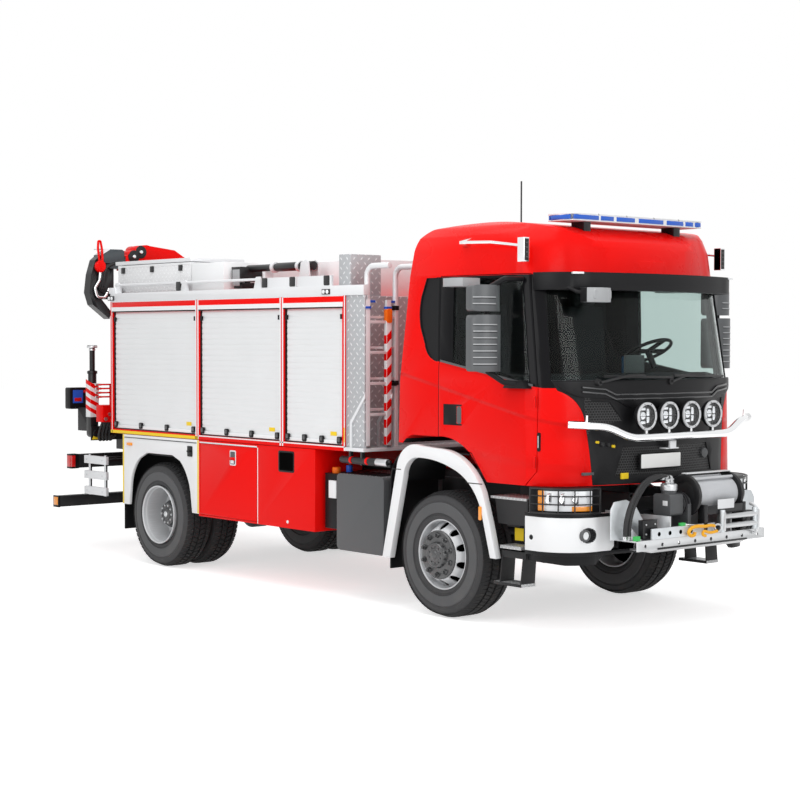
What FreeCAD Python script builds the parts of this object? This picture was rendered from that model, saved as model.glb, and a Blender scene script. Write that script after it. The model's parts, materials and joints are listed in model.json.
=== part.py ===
"""Rescue truck: two axles, cab, box body with roller shutters, front winch and rear loading crane.

Units are millimetres and degrees.  Z points up and the ground is Z = 0.  The truck faces -Y, so its
own right-hand side is -X.  Most lengths along the truck are given behind the front axle, by along().
"""
import FreeCAD, Part
import Sketcher
import math
import os

doc = FreeCAD.newDocument("rescue_truck")
sheet = doc.addObject("Spreadsheet::Sheet", "Sizes")
sub_parts = []

# ------------------------------------------------------------------ driving dimensions
DIMENSIONS = {
    # running gear
    "front_axle_y": -2370, "wheelbase": 4295, "tyre_radius": 535, "rim_radius": 286,
    "front_tyre_width": 370, "rear_tyre_width": 300, "wheel_outer_x": 1240, "twin_spacing": 345,
    "kingpin_x": 840, "kingpin_radius": 26, "running_gap": 0.05, "spindle_radius": 48,
    "rear_spindle_radius": 60,
    # frame
    "rail_half_gap": 375, "rail_height": 270, "rail_flange": 85, "rail_wall": 10,
    "frame_top": 1090, "frame_front": -1330, "frame_rear": 6330,
    # cab
    "cab_half_width": 1200, "cab_floor": 1500, "floor_thick": 45,
    "cab_bottom": 1175, "cab_waist": 2000, "cab_visor_line": 2730, "cab_seam": 2880,
    "cab_wall": 45, "glass_inset": 14, "glass_thick": 6, "door_gap": 5,
    "door_depth": 60, "panel_top": 2016,
    # body
    "body_half_width": 1250, "body_front": 1260, "body_rear": 5215, "body_floor": 1340,
    "body_top": 2730, "body_wall": 40, "shutter_inset": 25, "shutter_thick": 22,
    "shutter_split_front": 2197, "shutter_split_rear": 3589, "post_width": 60,
    "skirt_bottom": 580, "skirt_top": 1335, "skirt_front": 1690, "skirt_split": 2560,
    "skirt_rear": 3560, "locker_depth": 560, "panel_wall": 25,
    "arch_panel_rear": 4980,
    # rear end and crane
    "crane_y": 6050, "column_x": -300, "column_foot": 1480, "boom_pivot_z": 2480,
    "knuckle_x": 1000, "knuckle_z": 2990, "boom_width": 200,
    "slide_height": 142, "slide_z": 3187, "outer_boom_tip": -600, "slide_gap": 6, "boom_wall": 9,
    "leg_x": 1085, "leg_y": 5870, "beam_z": 1300, "leg_tube": 94,
    # winch
    "winch_bed_front": -1790, "drum_y": -1640, "drum_z": 1080, "anchor_hole": 15, "anchor_z": 728,
    "recovery_hole": 21, "recovery_y": 6307, "recovery_z": 680,
    # deck, roof and hinges
    "deck_front": 1000, "deck_top": 1378, "mast_x": -950, "mast_y": 2150, "mast_z": 3030,
    "roof_box_top": 3115, "door_hinge_x": 1190, "door_hinge_y": -1052, "flap_hinge_z": 608,
}


class Size:
    """A length worked out from the sheet: its value now, and the expression that keeps it up to date."""

    def __init__(self, value, text):
        self.value = float(value)
        self.text = text

    def __float__(self):
        return self.value

    def __add__(self, other):
        other = as_size(other)
        return Size(self.value + other.value, f"({self.text} + {other.text})")

    def __sub__(self, other):
        other = as_size(other)
        return Size(self.value - other.value, f"({self.text} - {other.text})")

    def __mul__(self, other):
        other = as_size(other)
        return Size(self.value * other.value, f"({self.text} * {other.text})")

    def __truediv__(self, other):
        other = as_size(other)
        return Size(self.value / other.value, f"({self.text} / {other.text})")

    def __neg__(self):
        return as_size(0) - self

    __radd__ = __add__
    __rmul__ = __mul__

    def __rsub__(self, other):
        return as_size(other) - self


def as_size(number):
    """A plain number as a Size, and a Size as itself."""
    return number if isinstance(number, Size) else Size(number, repr(float(number)))


class Cells:
    """The driving dimensions by name, each one a Size that reads its cell."""


def fill_sheet():
    """Write each driving dimension into the sheet as a plain number with an alias, and name it in d."""
    cells = Cells()
    for row, (alias, number) in enumerate(DIMENSIONS.items(), start=1):
        sheet.set(f"A{row}", alias.replace("_", " "))
        sheet.set(f"B{row}", str(number))
        sheet.setAlias(f"B{row}", alias)
        setattr(cells, alias, Size(number, f"Sizes.{alias}"))
    doc.recompute()
    return cells


d = fill_sheet()


def along(distance):
    """The Y of a point this far behind the front axle."""
    return d.front_axle_y + distance


# ------------------------------------------------------------------ ways of making a solid
def bind(feature, name, length):
    """Bind one property of a feature to its expression in the sheet."""
    feature.setExpression(name, as_size(length).text)


def place(feature, x=0, y=0, z=0):
    """Bind the position of a feature, leaving its rotation alone."""
    for letter, length in (("x", x), ("y", y), ("z", z)):
        bind(feature, f"Placement.Base.{letter}", length)
    return feature


def box(x, y, z):
    """A block between pairs of limits on each axis."""
    feature = doc.addObject("Part::Box", "Block")
    for name, (low, high) in (("Length", x), ("Width", y), ("Height", z)):
        bind(feature, name, as_size(high) - low)
    return place(feature, x[0], y[0], z[0])


def cylinder(radius, start, length, axis="Z"):
    """A round bar from a start point along +X, +Y or +Z."""
    feature = doc.addObject("Part::Cylinder", "Round")
    turn = {"X": (0, 1, 0, 90), "Y": (1, 0, 0, -90), "Z": (0, 0, 1, 0)}[axis]
    feature.Placement = FreeCAD.Placement(FreeCAD.Vector(), FreeCAD.Rotation(FreeCAD.Vector(*turn[:3]), turn[3]))
    bind(feature, "Radius", radius)
    bind(feature, "Height", length)
    return place(feature, *start)


def join(*features):
    """Several features fused to one."""
    feature = doc.addObject("Part::MultiFuse", "Joined")
    feature.Shapes = list(features)
    return feature


def cut(base, *tools):
    """A feature with others taken out of it."""
    feature = doc.addObject("Part::Cut", "Cut")
    feature.Base = base
    feature.Tool = tools[0] if len(tools) == 1 else join(*tools)
    return feature


def common(base, tool):
    """What two features share."""
    feature = doc.addObject("Part::Common", "Shared")
    feature.Base = base
    feature.Tool = tool
    return feature


def mirrored(source):
    """The same feature on the other side of the truck."""
    feature = doc.addObject("Part::Mirroring", "Twin")
    feature.Source = source
    feature.Normal = FreeCAD.Vector(1, 0, 0)
    return feature


def both_sides(source):
    """A feature and its twin across the truck, as one."""
    return join(source, mirrored(source))


PLANES = {"XY": "XY_Plane", "XZ": "XZ_Plane", "YZ": "YZ_Plane"}


def origin_plane(body, plane):
    """The origin plane of a body, found by its role."""
    return next(item for item in body.Origin.OriginFeatures if item.Role == PLANES[plane])


def sketch_on(body, plane, offset=0):
    """A sketch in a body on its own origin plane, moved along the plane's normal."""
    sketch = body.newObject("Sketcher::SketchObject", "Outline")
    sketch.AttachmentSupport = (origin_plane(body, plane), [""])
    sketch.MapMode = "FlatFace"
    bind(sketch, "AttachmentOffset.Base.z", offset)
    return sketch


def arc_through(start, middle, end):
    """The arc through three points, drawn anticlockwise as a sketch keeps it."""
    if (middle - start).cross(end - start).z < 0:
        start, end = end, start
    centre = Part.Arc(start, middle, end).toShape().Curve.Center
    angles = [math.atan2(spot.y - centre.y, spot.x - centre.x) for spot in (start, end)]
    ring = Part.Circle(centre, FreeCAD.Vector(0, 0, 1), (start - centre).Length)
    return Part.ArcOfCircle(ring, *angles)


def draw(sketch, points):
    """A closed outline through the points, each bound to the sheet.

    A point is (u, v), or (u, v, "arc") for one that an arc passes through on its way between its neighbours.
    """
    corners = [index for index, point in enumerate(points) if len(point) == 2]
    spots = [FreeCAD.Vector(float(point[0]), float(point[1]), 0) for point in points]
    edges = []
    for index in corners:
        after = (index + 1) % len(points)
        if len(points[after]) == 3:
            edges.append(arc_through(spots[index], spots[after], spots[(after + 1) % len(points)]))
        else:
            edges.append(Part.LineSegment(spots[index], spots[after]))
    sketch.addGeometry(edges, False)
    starts = [1 if (edge.StartPoint - spots[index]).Length < 1e-3 else 2 for edge, index in zip(edges, corners)]
    for edge, index in enumerate(corners):
        after = (edge + 1) % len(corners)
        sketch.addConstraint(Sketcher.Constraint("Coincident", edge, 3 - starts[edge], after, starts[after]))
        if isinstance(edges[edge], Part.ArcOfCircle):
            sketch.addConstraint(Sketcher.Constraint("Radius", edge, edges[edge].Radius))
        for kind, length in zip(("DistanceX", "DistanceY"), points[index]):
            rule = Sketcher.Constraint(kind, -1, 1, edge, starts[edge], float(length))
            number = sketch.addConstraint(rule)
            if isinstance(length, Size):
                sketch.setExpression(f"Constraints[{number}]", length.text)
    return sketch


def body(name="Shape"):
    """An empty part design body."""
    return doc.addObject("PartDesign::Body", name)


def prism(plane, points, low, high, name="Prism"):
    """An outline on one of the origin planes, padded between two distances along the plane's normal."""
    solid = body(name)
    outline = draw(sketch_on(solid, plane, low), points)
    pad = solid.newObject("PartDesign::Pad", "Pad")
    pad.Profile = outline
    bind(pad, "Length", as_size(high) - low)
    outline.Visibility = False
    return solid


def side_prism(points, x, name="Prism"):
    """An outline seen from the side, as (Y, Z) points, filled between two values of X."""
    return prism("YZ", points, x[0], x[1], name)


def front_prism(points, y, name="Prism"):
    """An outline seen from the front, as (X, Z) points, filled between two values of Y."""
    return prism("XZ", points, -as_size(y[1]), -as_size(y[0]), name)


def plan_prism(points, z, name="Prism"):
    """An outline seen from above, as (X, Y) points, filled between two values of Z."""
    return prism("XY", points, z[0], z[1], name)


def turned(points, x, y, z, name="Turned", axis="X"):
    """A solid turned about an axis through a centre.  Points are (distance along the axis, radius)."""
    plane, line = {"X": ("XZ", "H_Axis"), "Y": ("XY", "V_Axis"), "Z": ("XZ", "V_Axis")}[axis]
    if axis != "X":
        points = [(point[1], point[0]) + tuple(point[2:]) for point in points]
    solid = body(name)
    outline = draw(sketch_on(solid, plane), points)
    spin = solid.newObject("PartDesign::Revolution", "Spin")
    spin.Profile = outline
    spin.ReferenceAxis = (outline, [line])
    spin.Angle = 360
    return place(solid, x, y, z)


def round_holes(solid, count, pitch_radius, hole_radius, x, reach):
    """A ring of holes along X through a turned solid."""
    outline = sketch_on(solid, "YZ", x)
    outline.addGeometry(Part.Circle(FreeCAD.Vector(float(pitch_radius), 0, 0), FreeCAD.Vector(0, 0, 1),
                                    float(hole_radius)), False)
    outline.addConstraint(Sketcher.Constraint("Radius", 0, float(hole_radius)))
    outline.addConstraint(Sketcher.Constraint("DistanceX", -1, 1, 0, 3, float(pitch_radius)))
    outline.addConstraint(Sketcher.Constraint("DistanceY", -1, 1, 0, 3, 0.0))
    pocket = solid.newObject("PartDesign::Pocket", "Hole")
    pocket.Profile = outline
    pocket.Midplane = True
    bind(pocket, "Length", reach)
    ring = solid.newObject("PartDesign::PolarPattern", "Ring")
    ring.Originals = [pocket]
    ring.Axis = (outline, ["N_Axis"])
    ring.Angle = 360
    ring.Occurrences = count
    solid.Tip = ring
    return solid


def tube(points, radius, bend=0):
    """A round bar along straight runs, with its corners rounded to a bend radius."""
    spots = [FreeCAD.Vector(*(float(number) for number in point)) for point in points]
    edges = []
    start = spots[0]
    for before, corner, after in zip(spots, spots[1:], spots[2:]):
        inward = (before - corner).normalize()
        outward = (after - corner).normalize()
        half = inward.getAngle(outward) / 2
        back = float(bend) / math.tan(half)
        first = corner + inward * back
        last = corner + outward * back
        centre = corner + (inward + outward).normalize() * (float(bend) / math.sin(half))
        middle = centre + (corner - centre).normalize() * float(bend)
        edges.append(Part.makeLine(start, first))
        edges.append(Part.Arc(first, middle, last).toShape())
        start = last
    edges.append(Part.makeLine(start, spots[-1]))
    path = Part.Wire(edges)
    ring = Part.Wire([Part.makeCircle(float(radius), spots[0], spots[1] - spots[0])])
    feature = doc.addObject("Part::Feature", "Tube")
    feature.Shape = path.makePipeShell([ring], True, False)
    return feature


def sub_part(name, feature):
    """Name a finished sub-part: its label names its file."""
    feature.Label = name
    sub_parts.append(feature)
    return feature


def side_pair(name, right):
    """The right-hand sub-part and its twin on the left."""
    sub_part(name + "_right", right)
    sub_part(name + "_left", mirrored(right))


# ------------------------------------------------------------------ frame and running gear
def chassis_frame():
    """Two channel rails with cross members, front horns for the winch and a rear end plate."""
    inner = d.rail_half_gap
    low = d.frame_top - d.rail_height
    wall = d.rail_wall
    outline = [(inner, low), (inner, d.frame_top), (inner - d.rail_flange, d.frame_top),
               (inner - d.rail_flange, d.frame_top - wall), (inner - wall, d.frame_top - wall),
               (inner - wall, low + wall), (inner - d.rail_flange, low + wall), (inner - d.rail_flange, low)]
    rail = front_prism(outline, (along(d.frame_front), along(d.frame_rear)), "Rail")
    members = []
    for position in (-1300, 1950, 2900, 3700, 4900, 5700, 6290):
        members.append(box((-inner + 5, inner - 5), (along(position), along(position + 30)),
                           (low + 40, d.frame_top - 40)))
    sub_part("chassis_frame", join(rail, mirrored(rail), *members))


def driveline():
    """The engine and gearbox as one plain block, the transfer box and both propeller shafts."""
    engine = box((-270, 270), (along(-760), along(420)), (800, 1340))
    gearbox = box((-190, 190), (along(420), along(1250)), (790, 1130))
    transfer = box((-190, 190), (along(1500), along(1900)), (560, 1000))
    link = cylinder(45, (0, along(1250), 900), 250, "Y")
    front_shaft = cylinder(40, (60, along(190), 600), 1310, "Y")
    rear_shaft = cylinder(45, (0, along(1900), 640), 2150, "Y")
    sub_part("driveline", join(engine, gearbox, transfer, link, front_shaft, rear_shaft))


def spring_pack(y, length, low):
    """Two stacked leaf springs along the rails, drawn as one tapering pack on each side."""
    x = (430, 510)
    points = [(y - length / 2, low + 210), (y - length / 2, low + 190), (y - 150, low), (y + 150, low),
              (y + length / 2, low + 190), (y + length / 2, low + 210), (y + 150, low + 60), (y - 150, low + 60)]
    return both_sides(side_prism(points, x, "Spring"))


def front_axle():
    """The driven front axle: tube, differential, springs and the bored ends that carry the kingpins."""
    centre = d.tyre_radius
    beam = cylinder(62, (-d.kingpin_x + 20, along(0), centre), d.kingpin_x * 2 - 40, "X")
    bowl = turned([(-150, 0), (-150, 90), (-60, 175), (60, 175), (150, 90), (150, 0)], 60, along(0), centre)
    eye = cylinder(56, (-d.kingpin_x, along(0), centre - 70), 140)
    pin_hole = cylinder(d.kingpin_radius + d.running_gap, (-d.kingpin_x, along(0), centre - 90), 180)
    solid = join(beam, bowl, eye, mirrored(eye), spring_pack(along(0), 1500, centre + 62))
    sub_part("front_axle", cut(solid, pin_hole, mirrored(pin_hole)))


def rear_axle():
    """The driven rear axle with its differential, springs and the two spindles."""
    centre = d.tyre_radius
    y = along(d.wheelbase)
    beam = cylinder(80, (-560, y, centre), 1120, "X")
    spindle = cylinder(d.rear_spindle_radius, (-1060, y, centre), 2120, "X")
    bowl = turned([(-190, 0), (-190, 110), (-80, 210), (80, 210), (190, 110), (190, 0)], 0, y, centre)
    sub_part("rear_axle", join(beam, spindle, bowl, spring_pack(y, 1600, centre + 80)))


def knuckle():
    """The steered knuckle: a fork with its kingpin, and the spindle that the wheel turns on."""
    centre = d.tyre_radius
    x = -d.kingpin_x
    pin = cylinder(d.kingpin_radius, (x, along(0), centre - 110), 220)
    upper = box((x - 90, x + 45), (along(-45), along(45)), (centre + 76, centre + 110))
    lower = box((x - 90, x + 45), (along(-45), along(45)), (centre - 110, centre - 76))
    web = box((x - 90, x - 64), (along(-60), along(60)), (centre - 110, centre + 110))
    spindle = cylinder(d.spindle_radius, (x - 330, along(0), centre), 260, "X")
    side_pair("knuckle", join(pin, upper, lower, web, spindle))


def tyre_outline(width):
    """Half of a tyre's section turned about the wheel axis: beads, bulged walls and a flat crown."""
    half = width / 2
    crown = d.tyre_radius
    bead = d.rim_radius
    return [(-half * 0.78, bead), (-half * 0.98, bead + 60), (-half, bead + 120, "arc"),
            (-half * 0.94, crown - 40), (-half * 0.86, crown - 10, "arc"), (-half * 0.72, crown), (half * 0.72, crown),
            (half * 0.86, crown - 10, "arc"), (half * 0.94, crown - 40), (half, bead + 120, "arc"),
            (half * 0.98, bead + 60), (half * 0.78, bead)]


def front_wheel():
    """The single front wheel: a tyre on a rim with ten hand holes and a long hub."""
    x = -(d.wheel_outer_x - d.front_tyre_width / 2)
    at = (x, along(0), d.tyre_radius)
    side_pair("tyre_front", turned(tyre_outline(d.front_tyre_width), *at, "FrontTyre"))
    bead = d.rim_radius
    bore = d.spindle_radius + d.running_gap
    section = [(-150, 0), (-150, 85), (-108, 140), (-108, 215), (-70, 250), (-80, bead - 14), (-160, bead - 12),
               (-160, bead), (160, bead), (160, bead - 12), (-30, bead - 16), (-52, 245), (-90, 212), (-90, 150),
               (-60, 120), (60, 120), (60, bore), (-120, bore), (-120, 0)]
    rim = turned(section, *at, "FrontRim")
    side_pair("rim_front", round_holes(rim, 10, 186, 24, -95, 120))


def rear_wheels():
    """The twin rear wheels on one hub: two tyres, and a deep outer and an inner rim joined at their discs."""
    x = -(d.wheel_outer_x - d.rear_tyre_width / 2)
    y = along(d.wheelbase)
    outer = turned(tyre_outline(d.rear_tyre_width), x, y, d.tyre_radius, "OuterTyre")
    inner = turned(tyre_outline(d.rear_tyre_width), x + d.twin_spacing, y, d.tyre_radius, "InnerTyre")
    side_pair("tyre_rear", join(outer, inner))
    bead = d.rim_radius
    bore = d.rear_spindle_radius + d.running_gap
    section = [(-215, 0), (-215, 95), (-175, 135), (-28, 135), (-28, 225), (-75, bead - 18), (-302, bead - 12),
               (-302, bead), (-43, bead), (-43, bead - 10), (-12, 240), (12, 240), (43, bead - 10), (43, bead),
               (302, bead), (302, bead - 12), (75, bead - 18), (28, 225), (28, 150), (80, 150), (80, bore),
               (-150, bore), (-150, 0)]
    rim = turned(section, x + d.twin_spacing / 2, y, d.tyre_radius, "RearRim")
    side_pair("rim_rear", round_holes(rim, 10, 186, 24, 0, 120))


# ------------------------------------------------------------------ cab
def cab_section(z, half, front, corner, rear, inset):
    """One level of the cab seen from above: flat rear and sides, rounded corners and a bowed front."""
    half = half - inset
    front = along(front + inset)
    corner_x = half * 0.72
    corner_y = front + 150
    side_y = along(corner + inset)
    rear = along(rear - inset)
    return z, [(-half, rear), (-half, side_y), (-half * 0.93, corner_y * 0.52 + side_y * 0.48, "arc"),
               (-corner_x, corner_y), (0, front, "arc"), (corner_x, corner_y),
               (half * 0.93, corner_y * 0.52 + side_y * 0.48, "arc"), (half, side_y), (half, rear)]


def roof_line(inset, low):
    """The cab from the side: raked rear wall, rounded roof, and the drop to the windscreen header."""
    front = -1750
    return [(along(590) - inset, low), (along(565) - inset, d.cab_waist), (along(470) - inset, d.cab_seam),
            (along(440) - inset, 3080), (along(398) - inset, as_size(3215) - inset * 0.5, "arc"),
            (along(275) - inset * 0.3, as_size(3284) - inset), (along(-330), as_size(3316) - inset, "arc"),
            (along(-900), as_size(3262) - inset), (along(-1090) + inset * 0.5, as_size(3180) - inset * 0.8, "arc"),
            (along(-1232) + inset, as_size(2985) - inset * 0.3), (along(front), as_size(2985) - inset * 0.3),
            (along(front), low)]


def cab_block(inset, low, name):
    """The whole cab as one block, drawn in by an inset on every face: the plan lofted up, under the roof line."""
    half = d.cab_half_width
    behind = 680
    levels = [(low, 0, -1450, -950), (d.cab_waist, 0, -1430, -930), (d.cab_visor_line, 25, -1300, -830),
              (d.cab_seam, 30, -1252, -800), (as_size(3080) - inset, 48, -1228, -780),
              (as_size(3200) - inset, 92, -1200, -750), (as_size(3275) - inset, 165, -1185, -720),
              (as_size(3335) - inset, 330, -1165, -690)]
    solid = body(name)
    outlines = []
    for z, narrower, front, corner in levels:
        z, points = cab_section(z, half - narrower, front, corner, behind, inset)
        outlines.append(draw(sketch_on(solid, "XY", z), points))
    loft = solid.newObject("PartDesign::AdditiveLoft", "Loft")
    loft.Profile = outlines[0]
    loft.Sections = outlines[1:]
    loft.Ruled = True
    under = side_prism(roof_line(inset, low), (-half - 50, half + 50), name + "Line")
    return common(solid, under)


def door_outline(inset):
    """The side door seen from the side: a low front, cut up over the wheel arch at the rear."""
    front, rear = -1055 + inset, 75 - inset
    return [(along(-930 + inset), d.cab_seam - 10 - inset), (along(front), 1970), (along(front), 1290),
            (along(-950 + inset), 1160 + inset), (along(-520 - inset), 1160 + inset),
            (along(-330 - inset), 1400 + inset), (along(rear), 1500 + inset),
            (along(rear), d.cab_seam - 10 - inset)]


def door_window_outline(inset):
    """The window in the side door: its sill falls towards the front."""
    return [(along(-870 + inset), 2835 - inset), (along(-985 + inset), 1995 + inset),
            (along(-85 - inset), 2145 + inset), (along(-85 - inset), 2835 - inset)]


def quarter_window_outline():
    """The small window behind the door: a raked, curved rear edge running into the belt line."""
    return [(along(100), 2858), (along(100), 2152), (along(192), 2190, "arc"), (along(262), 2300),
            (along(318), 2440), (along(334), 2600, "arc"), (along(318), 2700), (along(256), 2858)]


def belt_outlines():
    """The bevel under the side windows: its lower outline on the skin and its upper one against the glass."""
    skin = [(-1040, 1918), (-719, 1974), (65, 2100), (225, 2138), (325, 2225), (392, 2360), (440, 2600),
            (-1040, 2600)]
    glass = [(-1040, 1962), (-719, 2014), (50, 2148), (160, 2176), (262, 2300), (318, 2440), (334, 2600),
             (-1040, 2600)]
    return [[(along(y), z) for y, z in outline] for outline in (skin, glass)]


def belt_bevel():
    """The wedge taken off the cab's right side above its belt line."""
    half = d.cab_half_width
    solid = body("BeltBevel")
    skin, glass = [draw(sketch_on(solid, "YZ", x), outline)
                   for x, outline in zip((-half - 4, -half + 14), belt_outlines())]
    loft = solid.newObject("PartDesign::AdditiveLoft", "Loft")
    loft.Profile = skin
    loft.Sections = [glass]
    loft.Ruled = True
    return solid


def windscreen_outline():
    """The windscreen seen from the front."""
    half = d.cab_half_width
    return [(-half + 108, d.panel_top), (half - 108, d.panel_top), (half - 150, 2835), (-half + 150, 2835)]


def front_panel_outline():
    """The black front panel seen from the front: wide under the windscreen, narrow at the bumper."""
    top = d.panel_top
    return [(-1092, top), (-1060, 1935), (-950, 1860, "arc"), (-870, 1720), (-835, 1500, "arc"), (-805, 1180),
            (805, 1180), (835, 1500, "arc"), (870, 1720), (950, 1860, "arc"), (1060, 1935), (1092, top)]


def cowl_outline():
    """The raised dark cowl under the windscreen seen from the front, stepping down to the middle."""
    top = d.panel_top
    return [(-1080, top), (-1045, 1950), (-960, 1900, "arc"), (-860, 1880), (-620, 1868), (-470, 1800),
            (470, 1800), (620, 1868), (860, 1880), (960, 1900, "arc"), (1045, 1950), (1080, top)]


def mesh_outlines():
    """The three sunk mesh fields of the front panel: one each side and one behind the number plate."""
    side = [(-845, 1850), (-640, 1838), (-520, 1690), (-800, 1640)]
    return (side, [(-x, z) for x, z in reversed(side)], [(-520, 1480), (-600, 1250), (600, 1250), (520, 1480)])


def cab():
    """The hollow cab with its doors, glass and front panel, all taken from one lofted shape."""
    half = d.cab_half_width
    shell = cut(cab_block(0, d.cab_bottom, "CabOuter"),
                cab_block(d.cab_wall, d.cab_floor + d.floor_thick, "CabInner"))
    arch = [(along(-520), 1100), (along(-520), 1175), (along(-318), 1398), (along(-180), 1482, "arc"),
            (along(90), 1522), (along(336), 1522), (along(450), 1508, "arc"), (along(525), 1450),
            (along(700), 1450), (along(700), 1100)]
    tunnel = box((-420, 420), (along(-1300), along(640)), (1100, d.cab_floor))
    footwell = box((450, half - d.door_depth - 20), (along(-1080), along(-565)), (1220, d.cab_floor + 60))
    bevel = belt_bevel()
    shell = cut(shell, side_prism(arch, (-half - 20, half + 20), "ArchCut"), tunnel, footwell,
                mirrored(footwell), bevel, mirrored(bevel))
    side = (-half - 20, -half + 150)
    far = (half - 150, half + 20)
    front = (along(-1600), along(-700))
    pillar_line = [(along(-1700), 1900), (along(-1085), 1900), (along(-1085), 2000), (along(-955), 2900),
                   (along(-1700), 2900)]
    screen = common(front_prism(windscreen_outline(), front), side_prism(pillar_line, (-half, half), "PillarLine"))
    behind_doors = cab_block(d.door_depth + 4, 1100, "BehindDoors")
    doorways = cut(join(side_prism(door_outline(0), side), side_prism(door_outline(0), far)), behind_doors)
    openings = join(doorways, side_prism(quarter_window_outline(), side),
                    side_prism(quarter_window_outline(), far), screen)
    panel_zone = front_prism(front_panel_outline(), (along(-1600), along(-1062)), "PanelZone")
    hinges = [cylinder(8, (-d.door_hinge_x, along(d.door_hinge_y), z), 90) for z in DOOR_HINGES]
    seats = [cylinder(12, (-d.door_hinge_x, along(d.door_hinge_y), z - 4), 98) for z in DOOR_HINGES]
    seats = both_sides(join(*seats))
    sub_part("cab_shell", cut(shell, openings, panel_zone, seats))
    raised = cut(cab_block(-12, 1100, "CowlOuter"), cab_block(0, 1090, "CowlInner"))
    panel = join(common(shell, panel_zone), common(raised, front_prism(cowl_outline(), front)))
    sunk = [front_prism(outline, front) for outline in mesh_outlines()]
    sub_part("front_panel", cut(panel, cut(join(*sunk), cab_block(9, 1100, "MeshDepth"))))
    glass = cut(cab_block(d.glass_inset, 1900, "GlassOuter"),
                cab_block(d.glass_inset + d.glass_thick, 1890, "GlassInner"))
    windows = join(screen, side_prism(quarter_window_outline(), side),
                   side_prism(quarter_window_outline(), far))
    sub_part("cab_windows", common(glass, windows))
    zone = side_prism(door_outline(d.door_gap), side, "DoorLeaf")
    leaf = cut(common(shell, zone), cab_block(d.door_depth, 1100, "DoorDepth"))
    door = cut(leaf, side_prism(door_window_outline(0), side, "DoorWindow"))
    dish = plan_prism([(-half - 5, along(-225)), (-half + 22, along(-150), "arc"), (-half - 5, along(20))],
                      (1625, 1800), "HandleDish")
    grip = box((-half - 12, -half + 4), (along(-222), along(-165)), (1640, 1785))
    side_pair("door", join(cut(door, dish), grip, *hinges))
    mirrors(leaf)
    side_pair("door_glass", common(glass, side_prism(door_window_outline(0), side, "DoorPane")))


def mirror_housing(x, z, depth):
    """One mirror housing: a flat glass side to the rear, a bulged back, and rounded corners seen from ahead."""
    (x0, x1), (z0, z1) = x, z
    flat, middle = along(-690), (as_size(x0) + x1) / 2
    shell = plan_prism([(x0, flat), (x0, flat - depth * 0.45), (middle, flat - depth, "arc"),
                        (x1, flat - depth * 0.45), (x1, flat)], z, "Housing")
    r = 34
    near = r * 0.29
    front = front_prism([(x0, z0 + r), (x0 + near, z0 + near, "arc"), (x0 + r, z0), (x1 - r, z0),
                         (x1 - near, z0 + near, "arc"), (x1, z0 + r), (x1, z1 - r), (x1 - near, z1 - near, "arc"),
                         (x1 - r, z1), (x0 + r, z1), (x0 + near, z1 - near, "arc"), (x0, z1 - r)],
                        (along(-900), along(-680)), "HousingFront")
    return common(shell, front)


def mirrors(leaf):
    """The two stacked mirrors on their post and arms, and the kerb mirror over the door window."""
    x = -d.cab_half_width
    post = tube([(x + 28, along(-890), 2822), (x - 150, along(-870), 2822), (x - 240, along(-760), 2740),
                 (x - 240, along(-760), 2090), (x - 130, along(-840), 2000), (x + 8, along(-930), 1975)], 22, 40)
    wedge = side_prism([(along(-1010), 1950), (along(-760), 1950), (along(-800), 2010), (along(-980), 2010)],
                       (x - 60, x + 20), "Wedge")
    main = mirror_housing((x - 400, x - 100), (2085, 2535), 165)
    upper = mirror_housing((x - 400, x - 100), (2562, 2772), 150)
    kerb = plan_prism([(x + 30, along(-330)), (x - 40, along(-470)), (x - 210, along(-450)),
                       (x - 245, along(-330), "arc"), (x - 200, along(-200)), (x - 60, along(-180))],
                      (2770, 2838), "KerbMirror")
    side_pair("mirrors", cut(join(post, wedge, main, upper, kerb), leaf))


def cab_inside():
    """The dashboard, the two front seats with a rear bench, and the steering wheel on the left."""
    half = d.cab_half_width
    floor = d.cab_floor + d.floor_thick
    dash = side_prism([(along(-1390), 1560), (along(-1390), 1960), (along(-940), 2060), (along(-790), 1960),
                       (along(-880), 1760), (along(-1000), 1560)], (-half + 135, half - 135), "Dash")
    seats = [common(dash, cab_block(d.cab_wall + 2, d.cab_floor + 10, "DashLimit"))]
    for x in (-620, 620):
        seats.append(box((x - 250, x + 250), (along(-420), along(80)), (floor, 1960)))
        seats.append(side_prism([(along(40), 1900), (along(100), 2640), (along(210), 2640), (along(170), 1900)],
                                (x - 240, x + 240), "SeatBack"))
    seats.append(box((-250, 250), (along(-200), along(170)), (floor, 1900)))
    sub_part("cab_interior", join(*seats))
    ring = doc.addObject("Part::Torus", "Ring")
    bind(ring, "Radius1", 215)
    bind(ring, "Radius2", 15)
    spoke = box((-205, 205), (-20, 20), (-12, 12))
    spoke_down = box((-20, 20), (-205, 0), (-12, 12))
    column = cylinder(28, (0, 0, -170), 180)
    wheel = join(ring, spoke, spoke_down, column)
    wheel.Placement = FreeCAD.Placement(FreeCAD.Vector(), FreeCAD.Rotation(FreeCAD.Vector(1, 0, 0), STEERING_TILT))
    sub_part("steering_wheel", place(wheel, STEERING_X, along(-700), 2240))


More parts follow.
